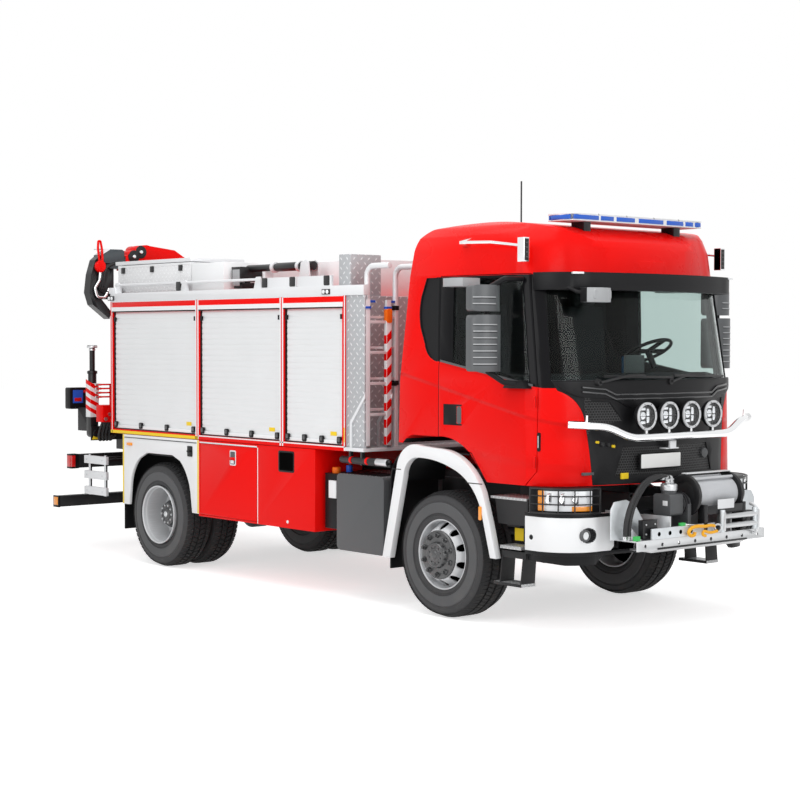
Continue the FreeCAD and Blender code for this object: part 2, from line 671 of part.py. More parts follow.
def sun_visor():
    """The dark outside visor over the windscreen, and the front mirror that hangs from its kerb end."""
    board = plan_prism([(-1128, along(-965)), (-1000, along(-1240), "arc"), (-800, along(-1335)),
                        (0, along(-1440), "arc"), (800, along(-1335)), (1000, along(-1240), "arc"),
                        (1128, along(-965)), (0, along(-965))], (2735, 2875), "Visor")
    inner = cab_block(0, d.cab_bottom, "VisorBack")
    arm = tube([(-1000, along(-1200), 2760), (-1000, along(-1330), 2715), (-930, along(-1390), 2700)], 14, 40)
    mirror = plan_prism([(-990, along(-1350)), (-1000, along(-1430)), (-865, along(-1490), "arc"),
                         (-735, along(-1440)), (-745, along(-1350))], (2635, 2748), "FrontMirror")
    sub_part("sun_visor", join(cut(board, inner), arm, mirror))


def bumper_section(inset):
    """The bumper seen from above, drawn in by an inset."""
    half = 1225 - inset
    return [(-half, along(-985)), (-half, along(-1080)), (-half * 0.93, along(-1330 + inset), "arc"),
            (-840, along(-1440 + inset)), (0, along(-1500 + inset), "arc"), (840, along(-1440 + inset)),
            (half * 0.93, along(-1330 + inset), "arc"), (half, along(-1080)), (half, along(-985))]


def front_end():
    """The bumper ends, the lamps in their corners, the bull bar and the four round lamps on it."""
    ring = cut(plan_prism(bumper_section(0), (640, 965), "Bumper"), plan_prism(bumper_section(70), (630, 975)))
    skirt = cut(plan_prism(bumper_section(35), (560, 645), "Skirt"), plan_prism(bumper_section(70), (550, 655)))
    end = front_prism([(-1240, 970), (-1240, 590), (-1100, 560), (-860, 556), (-700, 700), (-700, 970)],
                      (along(-1600), along(-900)), "BumperEnd")
    fog = cylinder(62, (-970, along(-1600), 800), 215, "Y")
    sub_part("front_bumper", both_sides(cut(common(join(ring, skirt), end), fog)))
    lamp_ring = cut(plan_prism(bumper_section(12), (972, 1172), "Lamp"),
                    plan_prism(bumper_section(110), (960, 1190)))
    face = front_prism([(-1240, 972), (-1240, 1172), (-900, 1172), (-770, 1140), (-740, 972)],
                       (along(-1600), along(-1010)), "LampFace")
    lamp = common(lamp_ring, face)
    bowl = [(-45, 0), (-45, 98), (-38, 112), (0, 112), (30, 88), (48, 45), (50, 0)]
    spots = [turned(bowl, x, along(-1512), 1745, "Spot", "Y") for x in SPOT_LAMPS]
    sub_part("front_lamps", join(lamp, mirrored(lamp), *spots))
    bar = tube([(-1130, along(-1350), 1675), (-830, along(-1500), 1655), (-610, along(-1555), 1560),
                (610, along(-1555), 1560), (830, along(-1500), 1655), (1130, along(-1350), 1675)], 32, 400)
    feet = [box((x - 15, x + 15), (along(-1550), along(-1420)), (1545, 1575)) for x in (-500, 500)]
    lugs = [box((x - 12, x + 12), (along(-1545), along(-1515)), (1580, 1632)) for x in SPOT_LAMPS]
    stubs = [tube([(x, along(-1420), 1660), (x, along(-1425), 1745)], 9) for x in (-985, 985)]
    sub_part("bull_bar", join(bar, *feet, *lugs, *stubs))


def winch_group():
    """The front winch bed with its roller guide, the drum and motor, and the two supply hoses."""
    front = d.winch_bed_front
    arm = box((d.rail_half_gap, d.rail_half_gap + 14), (along(front + 20), along(-1080)), (720, 940))
    plate = join(box((-800, 800), (along(front), along(-1510)), (760, 772)),
                 box((-690, 690), (along(-1510), along(-1330)), (760, 772)))
    lip = box((-800, 800), (along(front), along(front + 10)), (690, 772))
    holes = [cylinder(d.anchor_hole, (x, along(front - 5), d.anchor_z), 20, "Y") for x in range(-700, 701, 200)]
    skid = side_prism([(along(front + 10), 690), (along(front + 10), 702), (along(-1500), 672),
                       (along(-1500), 660), (along(front + 60), 660)], (-560, 560), "Skid")
    guide_x = (180, 620)
    ears = [side_prism([(along(front + 10), 772), (along(front - 70), 790), (along(front - 70), 940),
                        (along(front - 20), 960), (along(front + 10), 900)], (x, x + 22), "Ear") for x in guide_x]
    rollers = [cylinder(22, (180, along(front - 45), z), 460, "X") for z in (830, 905)]
    brace = side_prism([(along(front + 10), 772), (along(-1510), 772), (along(-1510), 930), (along(-1600), 930)],
                       (-745, -730), "Brace")
    sub_part("winch_bed", join(plate, cut(lip, *holes), skid, arm, mirrored(arm), both_sides(brace),
                               *ears, *rollers))
    y, z = along(d.drum_y), d.drum_z
    drum = cylinder(115, (-60, y, z), 560, "X")
    flanges = [turned([(0, 0), (0, 150), (6, 165), (16, 165), (20, 150), (20, 0)], x, y, z, "Flange")
               for x in (-60, 480)]
    gearbox = turned([(0, 0), (0, 120), (70, 120), (90, 80), (90, 0)], 500, y, z, "Gearbox")
    motor = turned([(0, 0), (0, 62), (18, 80), (190, 80), (200, 68), (270, 68), (270, 0)],
                   -330, y, z - 60, "Motor")
    manifold = cylinder(60, (-250, y, z + 10), 90)
    feet = [box((x, x + 40), (y - 90, y + 90), (772, z - 60)) for x in (-120, 510)]
    ties = [cylinder(12, (-60, y + step, z + 135), 560, "X") for step in (-60, 60)]
    sub_part("winch", join(drum, *flanges, gearbox, motor, manifold, *feet, *ties))
    hoses = []
    for x in (-265, -225):
        hoses.append(tube([(x, y, z + 100), (x, y, z + 150), (x - 380, y - 60, z + 60), (x - 420, y - 60, 790)],
                          20, 45))
    sub_part("winch_hoses", join(*hoses))


def lower_cab():
    """The white front arches, the black mudguards, the cab steps and the tanks behind the front axle."""
    x = (-d.body_half_width, -d.cab_half_width + 10)
    arch = [(along(740), 445), (along(548), 1262), (along(450), 1405, "arc"), (along(250), 1438),
            (along(-60), 1420), (along(-350), 1300, "arc"), (along(-520), 1090), (along(-600), 850),
            (along(-680), 565), (along(-610), 565), (along(-520), 880), (along(-400), 1110, "arc"),
            (along(-170), 1262), (along(60), 1322, "arc"), (along(300), 1335), (along(405), 1290, "arc"),
            (along(462), 1170), (along(640), 445)]
    sub_part("front_arches", both_sides(side_prism(arch, x, "Arch")))
    flap = box((-1190, -640), (along(690), along(705)), (345, 1100))
    rear_flap = box((-1220, -560), (along(4980), along(4995)), (330, 1000))
    cover = side_prism([(along(690), 1090), (along(705), 1090), (along(640), 1290, "arc"), (along(480), 1394),
                        (along(-300), 1394), (along(-300), 1382), (along(474), 1382), (along(628), 1282, "arc")],
                       (-1190, -560), "Cover")
    rear_cover = side_prism([(along(3640), 700), (along(3652), 700), (along(3780), 1150), (along(4810), 1150),
                             (along(4990), 700), (along(4980), 700), (along(4802), 1138), (along(3788), 1138)],
                            (-1200, -560), "RearCover")
    sub_part("mudguards", both_sides(join(flap, rear_flap, cover, rear_cover)))
    treads = [box((-1195, -930), (along(-970), along(-560)), (1050, 1070)),
              box((-1215, -930), (along(-930), along(-692)), (655, 680)),
              box((-1235, -1075), (along(-958), along(-640)), (360, 385))]
    hangers = [front_prism([(-1235, 372), (-1080, 372), (-1060, 620), (-1205, 620)],
                           (along(front), along(front + 12)), "Hanger") for front in (-955, -718)]
    wall = box((-935, -920), (along(-980), along(-640)), (585, 1140))
    cheek = box((-1190, -925), (along(-983), along(-968)), (585, 1060))
    apron = side_prism([(along(-975), 850), (along(-975), 1060), (along(-600), 1060), (along(-640), 850)],
                       (-1186, -1172), "Apron")
    sill = box((-1205, -930), (along(-975), along(-704)), (585, 640))
    sub_part("cab_steps", both_sides(join(*treads, *hangers, wall, cheek, apron, sill)))
    tank = side_prism([(along(763), 450), (along(763), 1090), (along(775), 1122, "arc"), (along(805), 1135),
                       (along(1380), 1135), (along(1405), 1122, "arc"), (along(1417), 1090), (along(1417), 500),
                       (along(1400), 460, "arc"), (along(1370), 445), (along(800), 445)], (-1215, -520), "Tank")
    trough = plan_prism([(-1170, along(1440)), (-1170, along(1640)), (-1120, along(1675), "arc"),
                         (-1060, along(1675)), (-520, along(1675)), (-520, along(1440))], (620, 1120), "Trough")
    sub_part("side_tanks", both_sides(join(tank, trough)))


def roof_lights():
    """The light bar on its feet, the aerial, and the side lamps on their arms."""
    bar = plan_prism([(-730, along(-1090)), (-800, along(-950), "arc"), (-730, along(-810)), (730, along(-810)),
                      (800, along(-950), "arc"), (730, along(-1090))], (3302, 3362), "LightBar")
    feet = [box((x - 40, x + 40), (along(-1020), along(-880)), (3200, 3305)) for x in (-560, 560)]
    foot = front_prism([(-1125, 3090), (-1195, 3128), (-1195, 3152), (-1125, 3180)],
                       (along(-255), along(-175)), "ArmFoot")
    arm = tube([(-1185, along(-215), 3140), (-1205, along(-560), 3128), (-1215, along(-930), 3085)], 13, 60)
    lamp = front_prism([(-1252, 2966), (-1252, 3140), (-1196, 3150), (-1196, 2956)],
                       (along(-985), along(-915)), "SideLamp")
    aerial = join(cylinder(7, (-600, along(-300), 3280), 395), cylinder(24, (-600, along(-300), 3270), 50))
    lights = join(bar, *feet, both_sides(join(foot, arm, lamp)), aerial)
    sub_part("roof_lights", cut(lights, cab_block(0, d.cab_bottom, "RoofSkin")))


DOOR_HINGES = (1320, 1800)
SPOT_LAMPS = (-415, -138, 138, 415)
LADDER_RUNGS = (1660, 1935, 2210, 2480)
LID_HINGE_X, LID_HINGE_Z = -490, 3130
CHEEK_PINS = ((-500, 3262), (-408, 3316))
STEERING_TILT = -28
STEERING_X = 565


# ------------------------------------------------------------------ box body
def body_shell():
    """The hollow upper body: floor, roof, ends, a middle wall and posts round six shutter openings."""
    half, wall = d.body_half_width, d.body_wall
    front, rear = along(d.body_front), along(d.body_rear)
    opening = (d.body_floor + 45, d.body_top - 110)
    outer = box((-half, half), (front, rear), (d.body_floor, d.body_top))
    post = d.post_width / 2
    limits = ((front + wall, along(d.shutter_split_front) - post),
              (along(d.shutter_split_front) + post, along(d.shutter_split_rear) - post),
              (along(d.shutter_split_rear) + post, rear - wall))
    bays = [box(x, span, opening) for span in limits for x in ((-half - 1, -20), (20, half + 1))]
    sub_part("body_shell", cut(outer, *bays))
    x = (-half + d.shutter_inset, -half + d.shutter_inset + d.shutter_thick)
    sub_part("shutters", both_sides(join(*[box(x, span, opening) for span in limits])))


def lower_body():
    """The red lower lockers with a hatch, their drop-down flaps, and the white arch panels."""
    half, wall = d.body_half_width, d.panel_wall
    front, split, rear = along(d.skirt_front), along(d.skirt_split), along(d.skirt_rear)
    inner = half - d.locker_depth
    inside = (d.skirt_bottom + wall, d.skirt_top - wall)
    outer = box((-half, -inner), (front, rear), (d.skirt_bottom, d.skirt_top))
    fixed_bay = box((-half + wall, -inner - wall), (front + wall, split - wall), inside)
    open_bay = box((-half - 1, -inner - wall), (split + wall, rear - wall), inside)
    hatch = box((-half - 1, -half + wall + 1), (along(2010), along(2235)), (1110, 1290))
    gap = d.door_gap
    width = (split + wall + gap, rear - wall - gap)
    groove = cylinder(11, (-half, width[0] - gap, d.flap_hinge_z), width[1] - width[0] + gap * 2, "Y")
    sub_part("lower_panels", both_sides(cut(outer, fixed_bay, open_bay, hatch, groove)))
    flap = box((-half, -half + wall), width, (inside[0] + gap, inside[1] - gap))
    hinge = cylinder(6, (-half, width[0], d.flap_hinge_z), width[1] - width[0], "Y")
    latch = box((-half - 12, -half + 1), (along(2935), along(3015)), (1165, 1195))
    side_pair("locker_flap", join(flap, hinge, latch))
    arch = side_prism([(rear, 600), (rear, d.skirt_top), (along(d.arch_panel_rear), d.skirt_top),
                       (along(d.arch_panel_rear), 600), (along(4850), 600), (along(4830), 760),
                       (along(4775), 960, "arc"), (along(4660), 1095), (along(4510), 1160), (along(4040), 1160),
                       (along(3900), 1110), (along(3770), 960, "arc"), (along(3705), 760), (along(3680), 600)],
                      (-half, -half + 30), "RearArch")
    sub_part("rear_arches", both_sides(arch))


def access():
    """The deck between cab and body, and on each side of it a stowed two-part ladder with its guides and pipes."""
    half = d.body_half_width
    front, rear, foot = along(d.deck_front), along(d.body_front), d.deck_top
    deck = box((-half, half), (front, rear), (d.body_floor + 5, foot))
    legs = [box((x, x + 40), (along(1040), along(1220)), (d.frame_top, d.body_floor + 10)) for x in (-375, 335)]
    stiles = [box((x - 24, x + 24), (front, front + 30), (foot, 2690)) for x in (-1196, -955)]
    rungs = [box((-1196, -955), (front + 4, front + 26), (z, z + 26)) for z in LADDER_RUNGS]
    hooks = [tube([(x, front + 58, foot), (x, front + 58, 2985), (x, front - 250, 2985)], 26, 90)
             for x in (-1160, -830)]
    back_rungs = [box((-1160, -830), (front + 45, front + 71), (z + 45, z + 67)) for z in LADDER_RUNGS]
    guides = [side_prism([(front - 18, 1858), (front + 190, 1605), (front + 190, foot), (front + 164, foot),
                          (front + 164, 1592), (front - 18, 1820)], (x, x + 12), "Guide") for x in (-half, -935)]
    pipes = [tube([(-1215, along(1346), z), (-1215, along(670), z - 8)], 13) for z in (1283, 1245)]
    clamps = [box((-1232, -1198), (along(y), along(y + 24)), (1225, d.body_floor + 10)) for y in (1040, 1200)]
    side = join(*stiles, *rungs, *hooks, *back_rungs, *guides, *pipes, *clamps)
    sub_part("walkway", join(deck, *legs, both_sides(side)))


def roof():
    """The plated cheeks and boxes of the roof, its edge bands and rails, and the light mast in its cradle."""
    half = d.body_half_width
    top = d.body_top
    front, rear = along(d.deck_front), along(d.body_front)
    cheek = box((-half + 12, -half + 28), (front, rear), (d.deck_top, top))
    screen = box((-half + 28, half - 28), (rear - 22, rear), (d.deck_top, top))
    upper = box((-1188, -830), (rear, along(1420)), (top, 3100))
    side = (-1150, -500)
    span = (along(3843), along(5218))
    wall = 20
    locker = cut(box(side, span, (top, d.roof_box_top)),
                 box((side[0] + wall, side[1] - wall), (span[0] + wall, span[1] - wall),
                     (top + wall, d.roof_box_top + 1)))
    low_box = box(side, (along(3270), along(3830)), (top, 3098))
    middle_box = box((-740, -150), (along(1500), along(3830)), (top, 3075))
    far_box = box((300, 1150), (along(1500), along(5000)), (top, 3075))
    sub_part("plate_lockers", join(both_sides(join(cheek, upper)), screen, locker, low_box, middle_box, far_box))
    lid_z = (d.roof_box_top + 5, 3157)
    lid = box((side[0] - 10, side[1] + 8), (along(3835), along(5255)), lid_z)
    hinge = cylinder(8, (LID_HINGE_X, along(3900), LID_HINGE_Z), 1250, "Y")
    sub_part("roof_locker_lid", join(lid, hinge))
    x, y, z = d.mast_x, along(d.mast_y), d.mast_z
    pole = join(cylinder(42, (x, y - 60, z), 560, "Y"), cylinder(34, (x, y + 500, z), 480, "Y"))
    head = join(box((x - 130, x + 130), (y + 930, y + 1085), (2905, 3045)),
                box((x - 110, x + 110), (y + 940, y + 1075), (2835, 2890)),
                box((x - 20, x + 20), (y + 980, y + 1020), (2880, 2910)))
    sub_part("light_mast", cut(join(pole, head), cylinder(18, (x - 60, y, z), 120, "X")))
    ears = [side_prism([(y - 100, top), (y + 120, top), (y + 60, 3060), (y - 20, 3085), (y - 55, 3060)],
                       (x + low, x + low + 14), "Ear") for low in (-64, 50)]
    pin = cylinder(17.95, (x - 64, y, z), 128, "X")
    rest = box((x - 50, x + 50), (y + 640, y + 680), (top, 2990))
    band = join(box((-half, -half + 60), (rear + 2, along(d.body_rear)), (top, top + 90)),
                box((-half, -half + 60), (front, rear + 2), (top, top + 90)))
    rail = tube([(-1222, along(2560), 2905), (-1222, along(5150), 2905)], 13)
    posts = [side_prism([(along(low), top + 80), (along(low + 130), top + 80), (along(low + 95), 2930),
                         (along(low + 35), 2930)], (-1232, -1212), "RailPost") for low in (2530, 3780, 5040)]
    panels = [box((-1232, -1205), (along(low), along(low + 500)), (top + 85, 2915)) for low in (1480, 2005)]
    corner = box((-1250, -1170), (along(5120), along(5245)), (top + 90, 2880))
    edge = join(band, rail, *posts, *panels, corner)
    sub_part("roof_rails", join(both_sides(edge), *ears, pin, rest))


# ------------------------------------------------------------------ rear end and crane
def rear_end():
    """The underrun bar on its brackets, the lamp beam above it and the side guards."""
    bar = box((-1240, 1240), (along(6340), along(6450)), (460, 580))
    rail = d.rail_half_gap
    leg = cut(box((-rail - 24, -rail), (along(6270), along(6345)), (470, 1000)),
              cylinder(d.recovery_hole, (-rail - 30, along(d.recovery_y), d.recovery_z), 40, "X"))
    beam = box((-1240, -rail), (along(6060), along(6140)), (910, 1060))
    guards = [box((-1235, -1200), (along(5345), along(5795)), (low, low + 85)) for low in (985, 820, 650)]
    stays = [box((-1200, -1180), (along(y), along(y + 40)), (640, 1080)) for y in (5400, 5720)]
    holders = [box((-1190, -rail), (along(y), along(y + 40)), (1000, 1040)) for y in (5400, 5720)]
    sub_part("rear_guards", join(bar, both_sides(join(leg, beam, *guards, *stays, *holders))))


def crane():
    """The folded loading crane: base, slewing column, inner and outer boom, extension and hook."""
    y = along(d.crane_y)
    x = d.column_x
    base = join(box((-550, 380), (along(5850), along(6250)), (d.frame_top, 1400)),
                cylinder(210, (x, y, 1395), d.column_foot - 1400),
                box((-1000, 1000), (along(5800), along(5940)), (d.beam_z - 75, d.beam_z + 75)))
    beam_bay = box((-1001, -30), (along(5812), along(5928)), (d.beam_z - 63, d.beam_z + 63))
    base = cut(base, cylinder(90.05, (x, y, 1390), 100), beam_bay, mirrored(beam_bay))
    controls = join(box((-1000, -790), (along(6500), along(6600)), (1550, 1780)),
                    box((-900, -850), (along(6240), along(6500)), (1300, 1560)),
                    box((-900, -300), (along(6200), along(6250)), (1290, 1340)))
    valve = join(box((-1000, -940), (along(5550), along(5830)), (1370, 1440)),
                 box((-1150, -940), (along(5540), along(5680)), (1435, 1620)),
                 box((-1010, -990), (along(5580), along(5640)), (1610, 1850)),
                 *[box((-1170, -990), (along(5570), along(5650)), (low, low + 16)) for low in (1700, 1745, 1790, 1834)])
    sub_part("crane_base", join(base, controls, valve))
    width = d.boom_width
    pivot = d.boom_pivot_z
    column = join(cylinder(150, (x, y, d.column_foot), 1900 - d.column_foot), cylinder(90, (x, y, 1395), 100),
                  front_prism([(x - 130, 1850), (x + 130, 1850), (x + 90, pivot + 60), (x - 90, pivot + 60)],
                              (y - 135, y + 135), "Column"))
    slot = box((x - 200, x + 200), (y - 108, y + 108), (pivot - 160, pivot + 100))
    pin = cylinder(30, (x, y - 160, pivot), 320, "Y")
    sub_part("crane_column", join(cut(column, slot), pin))
    run = (d.knuckle_x - x, d.knuckle_z - pivot)
    length = math.hypot(float(run[0]), float(run[1]))
    slope = math.degrees(math.atan2(float(run[1]), float(run[0])))
    boom = join(cylinder(90, (0, -100, 0), 200, "Y"),
                box((0, length - 140), (-width / 2, width / 2), (-130, 90)),
                box((length - 200, length), (-width / 2, -width / 2 + 30), (-80, 70)),
                box((length - 200, length), (width / 2 - 30, width / 2), (-80, 70)),
                cylinder(75, (length, -100, 0), 30, "Y"), cylinder(75, (length, 70, 0), 30, "Y"))
    boom = cut(boom, box((160, length - 170), (-width / 2 + d.boom_wall, width / 2 - d.boom_wall), (-120, 80)))
    boom = cut(boom, cylinder(30.05, (0, -170, 0), 340, "Y"), cylinder(28, (length, -170, 0), 340, "Y"))
    boom.Placement = FreeCAD.Placement(FreeCAD.Vector(), FreeCAD.Rotation(FreeCAD.Vector(0, 1, 0), -slope))
    sub_part("inner_boom", place(boom, x, y, pivot))
    kx, kz = d.knuckle_x, d.knuckle_z
    half_height = d.slide_height / 2
    centre = d.slide_z
    wall = d.boom_wall
    low, high = centre - half_height - wall, centre + half_height + wall
    tip = d.outer_boom_tip
    skin = front_prism([(tip, low), (tip, high), (-455, 3340), (-375, 3390), (-330, 3398, "arc"), (-285, 3390),
                        (50, 3352), (195, high), (kx - 20, high), (kx - 20, low)],
                       (y - width / 2, y + width / 2), "OuterBoom")
    hollow = box((tip - 1, kx - 200), (y - width / 2 + wall, y + width / 2 - wall),
                 (centre - half_height, centre + half_height))
    lug = join(front_prism([(kx - 230, low + 5), (kx - 60, kz - 50), (kx + 40, kz - 50), (kx + 60, kz + 50),
                            (kx - 20, low + 5)], (y - 55, y + 55), "Lug"),
               cylinder(27.95, (kx, y - 100, kz), 200, "Y"))
    cheeks = [cylinder(72, (x, y - width / 2 - 12, z), d.boom_width + 24, "Y") for x, z in CHEEK_PINS]
    pins = [cylinder(20, (x, y - width / 2 - 22, z), d.boom_width + 44, "Y") for x, z in CHEEK_PINS]
    sub_part("outer_boom", join(cut(join(skin, *cheeks, *pins), hollow), lug))
    gap = d.slide_gap
    slider = box((tip - 200, kx - 210), (y - width / 2 + wall + gap, y + width / 2 - wall - gap),
                 (centre - half_height + gap, centre + half_height - gap))
    gap = gap + wall
    slider = cut(slider, box((tip - 150, kx - 209), (y - width / 2 + wall + gap, y + width / 2 - wall - gap),
                             (centre - half_height + gap, centre + half_height - gap)))
    cover = front_prism([(tip - 12, 3240), (tip - 12, 3318), (tip - 40, 3335), (tip - 190, 3335),
                         (tip - 300, 3270), (tip - 300, 3180), (tip - 190, 3180)], (y - 88, y + 88), "Cover")
    head = front_prism([(tip - 160, 3290), (tip - 260, 3300), (tip - 370, 3210), (tip - 420, 3050),
                        (tip - 445, 2850), (tip - 400, 2715), (tip - 190, 2560), (tip - 165, 2640),
                        (tip - 300, 2790), (tip - 160, 3000)], (y - 60, y + 60), "Head")
    ball = turned([(0, 0), (0, 52), (12, 66), (38, 66), (50, 52), (50, 0)], tip - 320, y - 110, 3140, "Ball", "Y")
    shackle = tube([(tip - 290, y - 85, 3180), (tip - 300, y - 85, 3340), (tip - 318, y - 85, 3420),
                    (tip - 345, y - 85, 3420), (tip - 350, y - 85, 3340), (tip - 330, y - 85, 3190)], 13, 12)
    hook = tube([(tip - 320, y - 85, 3090), (tip - 330, y - 85, 2990), (tip - 390, y - 85, 2900),
                 (tip - 360, y - 85, 2800), (tip - 260, y - 85, 2800), (tip - 215, y - 85, 2900)], 16, 45)
    sub_part("crane_extension", join(slider, cover, head, ball, shackle, hook))


def stabiliser():
    """One stabiliser: the sliding beam, the swing-up leg and its foot."""
    x, y, z = -d.leg_x, along(d.leg_y), d.beam_z
    beam = join(box((-1000, -60), (y - 50, y + 50), (z - 55, z + 55)),
                box((x + 72, -1006), (y - 66, y + 66), (z - 75, z + 75)),
                box((x - 60, x + 78), (y - 75, y - 62), (z - 75, z + 75)),
                cylinder(24.95, (x, y - 75, z), 140, "Y"))
    side_pair("stabiliser_beam", beam)
    half = d.leg_tube / 2
    leg = join(box((x - half, x + half), (y - half, y + half), (z, z + 330)), cylinder(half - 1, (x, y, z + 320), 370),
               cylinder(half, (x, y - half, z), half * 2, "Y"))
    leg = cut(leg, cylinder(25, (x, y - 90, z), 180, "Y"), cylinder(half - 9, (x, y, z + 90), 620))
    side_pair("stabiliser_leg", leg)
    foot = join(cylinder(30, (x, y, z + 110), 2245 - z - 110), cylinder(54, (x, y, 2240), 28))
    side_pair("stabiliser_foot", foot)


def finish():
    """Recompute, check every object and write each sub-part."""
    doc.recompute()
    for item in doc.Objects:
        if {"Invalid", "Error"} & set(item.State):
            raise RuntimeError(f"{item.Name} ({item.Label}) failed: {item.State}")
    os.makedirs("parts", exist_ok=True)
    for item in sub_parts:
        if item.Shape.isNull() or not item.Shape.isValid() or not item.Shape.Solids:
            raise RuntimeError(f"{item.Label} has no valid solid")
        item.Shape.exportStep(f"parts/{item.Label}.step")


chassis_frame()
driveline()
front_axle()
rear_axle()
knuckle()
front_wheel()
rear_wheels()
cab()
cab_inside()
sun_visor()
front_end()
winch_group()
lower_cab()
roof_lights()
body_shell()
lower_body()
access()
roof()
rear_end()
crane()
stabiliser()
finish()
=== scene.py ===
"""Rescue truck: the looks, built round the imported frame. Metres; Z up; faces -Y; its right side is -X."""
import json
import math

import bmesh
import bpy
from mathutils import Matrix, Vector


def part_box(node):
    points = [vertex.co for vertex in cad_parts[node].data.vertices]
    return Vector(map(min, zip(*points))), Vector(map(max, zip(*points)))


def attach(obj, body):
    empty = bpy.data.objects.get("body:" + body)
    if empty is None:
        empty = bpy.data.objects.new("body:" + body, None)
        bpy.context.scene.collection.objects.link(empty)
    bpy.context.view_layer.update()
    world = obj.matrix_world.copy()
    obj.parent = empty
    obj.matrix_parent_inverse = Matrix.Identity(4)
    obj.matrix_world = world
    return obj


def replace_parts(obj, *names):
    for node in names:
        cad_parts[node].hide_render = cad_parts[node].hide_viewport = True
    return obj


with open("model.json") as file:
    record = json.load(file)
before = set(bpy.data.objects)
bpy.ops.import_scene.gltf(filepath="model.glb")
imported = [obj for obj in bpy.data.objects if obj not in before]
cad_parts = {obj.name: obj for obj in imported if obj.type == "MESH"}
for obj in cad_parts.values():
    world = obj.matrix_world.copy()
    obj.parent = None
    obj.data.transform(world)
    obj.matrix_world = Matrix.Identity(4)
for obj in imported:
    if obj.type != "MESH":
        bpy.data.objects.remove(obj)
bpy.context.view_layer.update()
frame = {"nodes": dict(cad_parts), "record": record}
nodes = frame["nodes"]
bodies = {node: body for body, group in frame["record"]["behaviour"]["bodies"].items() for node in group}
low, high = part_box("rim_front_right")
AXLE_Y = (low.y + high.y) / 2
RIGHT, LEFT = -1, 1
SIDES = (("right", RIGHT), ("left", LEFT))


def aft(distance):
    """The Y of a point this far behind the front axle."""
    return AXLE_Y + distance


def span(start, end):
    """The two Y limits of a piece between two distances behind the front axle."""
    return aft(start), aft(end)


def right_face(node):
    """The X of a node's outermost point on the right."""
    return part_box(node)[0].x


def mirrored(point, side):
    """A point of the right side, or its mirror image for the left."""
    return (-side * point[0], point[1], point[2])


# ------------------------------------------------------------------ camera, light and floor
CAMERA_LENS = 77.28
CAMERA_PLACE = (-10.895, aft(-10.625), 2.336)
CAMERA_HEADING, CAMERA_TILT, CAMERA_ROLL = -40.904, 87.990, 0.125
LAMP_AIM = (0, 0, 1.5)
# name: place, size and power
LAMPS = {"overhead": ((-2, -2, 9), 9, 540), "near_side": ((-11, -3, 5), 7, 375),
         "front_side": ((-2, -13, 4.5), 6, 375)}
WORLD_LIGHT = 0.48
FLOOR_GLOW = 0.60
FLOOR_REACH = 60


def camera():
    """The camera: a long lens from ahead of the truck's right-hand side, at the height of its mirrors."""
    lens = bpy.data.cameras.new("camera")
    lens.lens = CAMERA_LENS
    lens.clip_end = 200
    view = bpy.data.objects.new("camera", lens)
    bpy.context.scene.collection.objects.link(view)
    turn = (Matrix.Rotation(math.radians(CAMERA_HEADING), 4, "Z")
            @ Matrix.Rotation(math.radians(CAMERA_TILT), 4, "X"))
    view.matrix_world = (Matrix.Translation(CAMERA_PLACE) @ turn
                         @ Matrix.Rotation(math.radians(CAMERA_ROLL), 4, "Z"))
    bpy.context.scene.camera = view


def lamp(name, place, aim, size, power):
    """One large soft lamp that faces a point."""
    data = bpy.data.lights.new(name, "AREA")
    data.shape = "SQUARE"
    data.size = size
    data.energy = power
    item = bpy.data.objects.new(name, data)
    item.location = place
    item.rotation_euler = (Vector(aim) - Vector(place)).to_track_quat("-Z", "Y").to_euler()
    bpy.context.scene.collection.objects.link(item)


def shown_ray(tree):
    """1 where the ray comes from the camera, a mirror or glass."""
    path = tree.nodes.new("ShaderNodeLightPath")
    first = calc(tree, "MAXIMUM", path.outputs["Is Camera Ray"], path.outputs["Is Glossy Ray"])
    return calc(tree, "MAXIMUM", first, path.outputs["Is Transmission Ray"])


def studio():
    """A white world, three soft lamps and a plain pale floor that keeps the shadow."""
    scene = bpy.context.scene
    scene.view_settings.view_transform = "Standard"
    world = bpy.data.worlds.new("studio")
    scene.world = world
    world.use_nodes = True
    tree = world.node_tree
    back = tree.nodes["Background"]
    back.inputs["Color"].default_value = (1, 1, 1, 1)
    tree.links.new(mix_number(tree, shown_ray(tree), WORLD_LIGHT, 1.0), back.inputs["Strength"])
    for name, (place, size, power) in LAMPS.items():
        lamp(name, place, LAMP_AIM, size, power)
    floor = bpy.data.meshes.new("floor")
    reach = FLOOR_REACH
    floor.from_pydata([(-reach, -reach, 0), (reach, -reach, 0), (reach, reach, 0), (-reach, reach, 0)], [],
                      [(0, 1, 2, 3)])
    item = bpy.data.objects.new("floor", floor)
    scene.collection.objects.link(item)
    paint = bpy.data.materials.new("floor")
    paint.use_nodes = True
    tree = paint.node_tree
    shader = tree.nodes["Principled BSDF"]
    shader.inputs["Base Color"].default_value = (0.84, 0.84, 0.84, 1)
    shader.inputs["Roughness"].default_value = 0.9
    shader.inputs["Specular IOR Level"].default_value = 0.1
    shader.inputs["Emission Color"].default_value = (1, 1, 1, 1)
    tree.links.new(mix_number(tree, shown_ray(tree), 0.0, FLOOR_GLOW), shader.inputs["Emission Strength"])
    floor.materials.append(paint)


# ------------------------------------------------------------------ shader helpers
def feed(tree, value, socket):
    """Link a socket, or set a plain value."""
    if isinstance(value, bpy.types.NodeSocket):
        tree.links.new(value, socket)
    else:
        socket.default_value = value


def calc(tree, operation, *values):
    """One Math node."""
    node = tree.nodes.new("ShaderNodeMath")
    node.operation = operation
    for value, socket in zip(values, node.inputs):
        feed(tree, value, socket)
    return node.outputs[0]


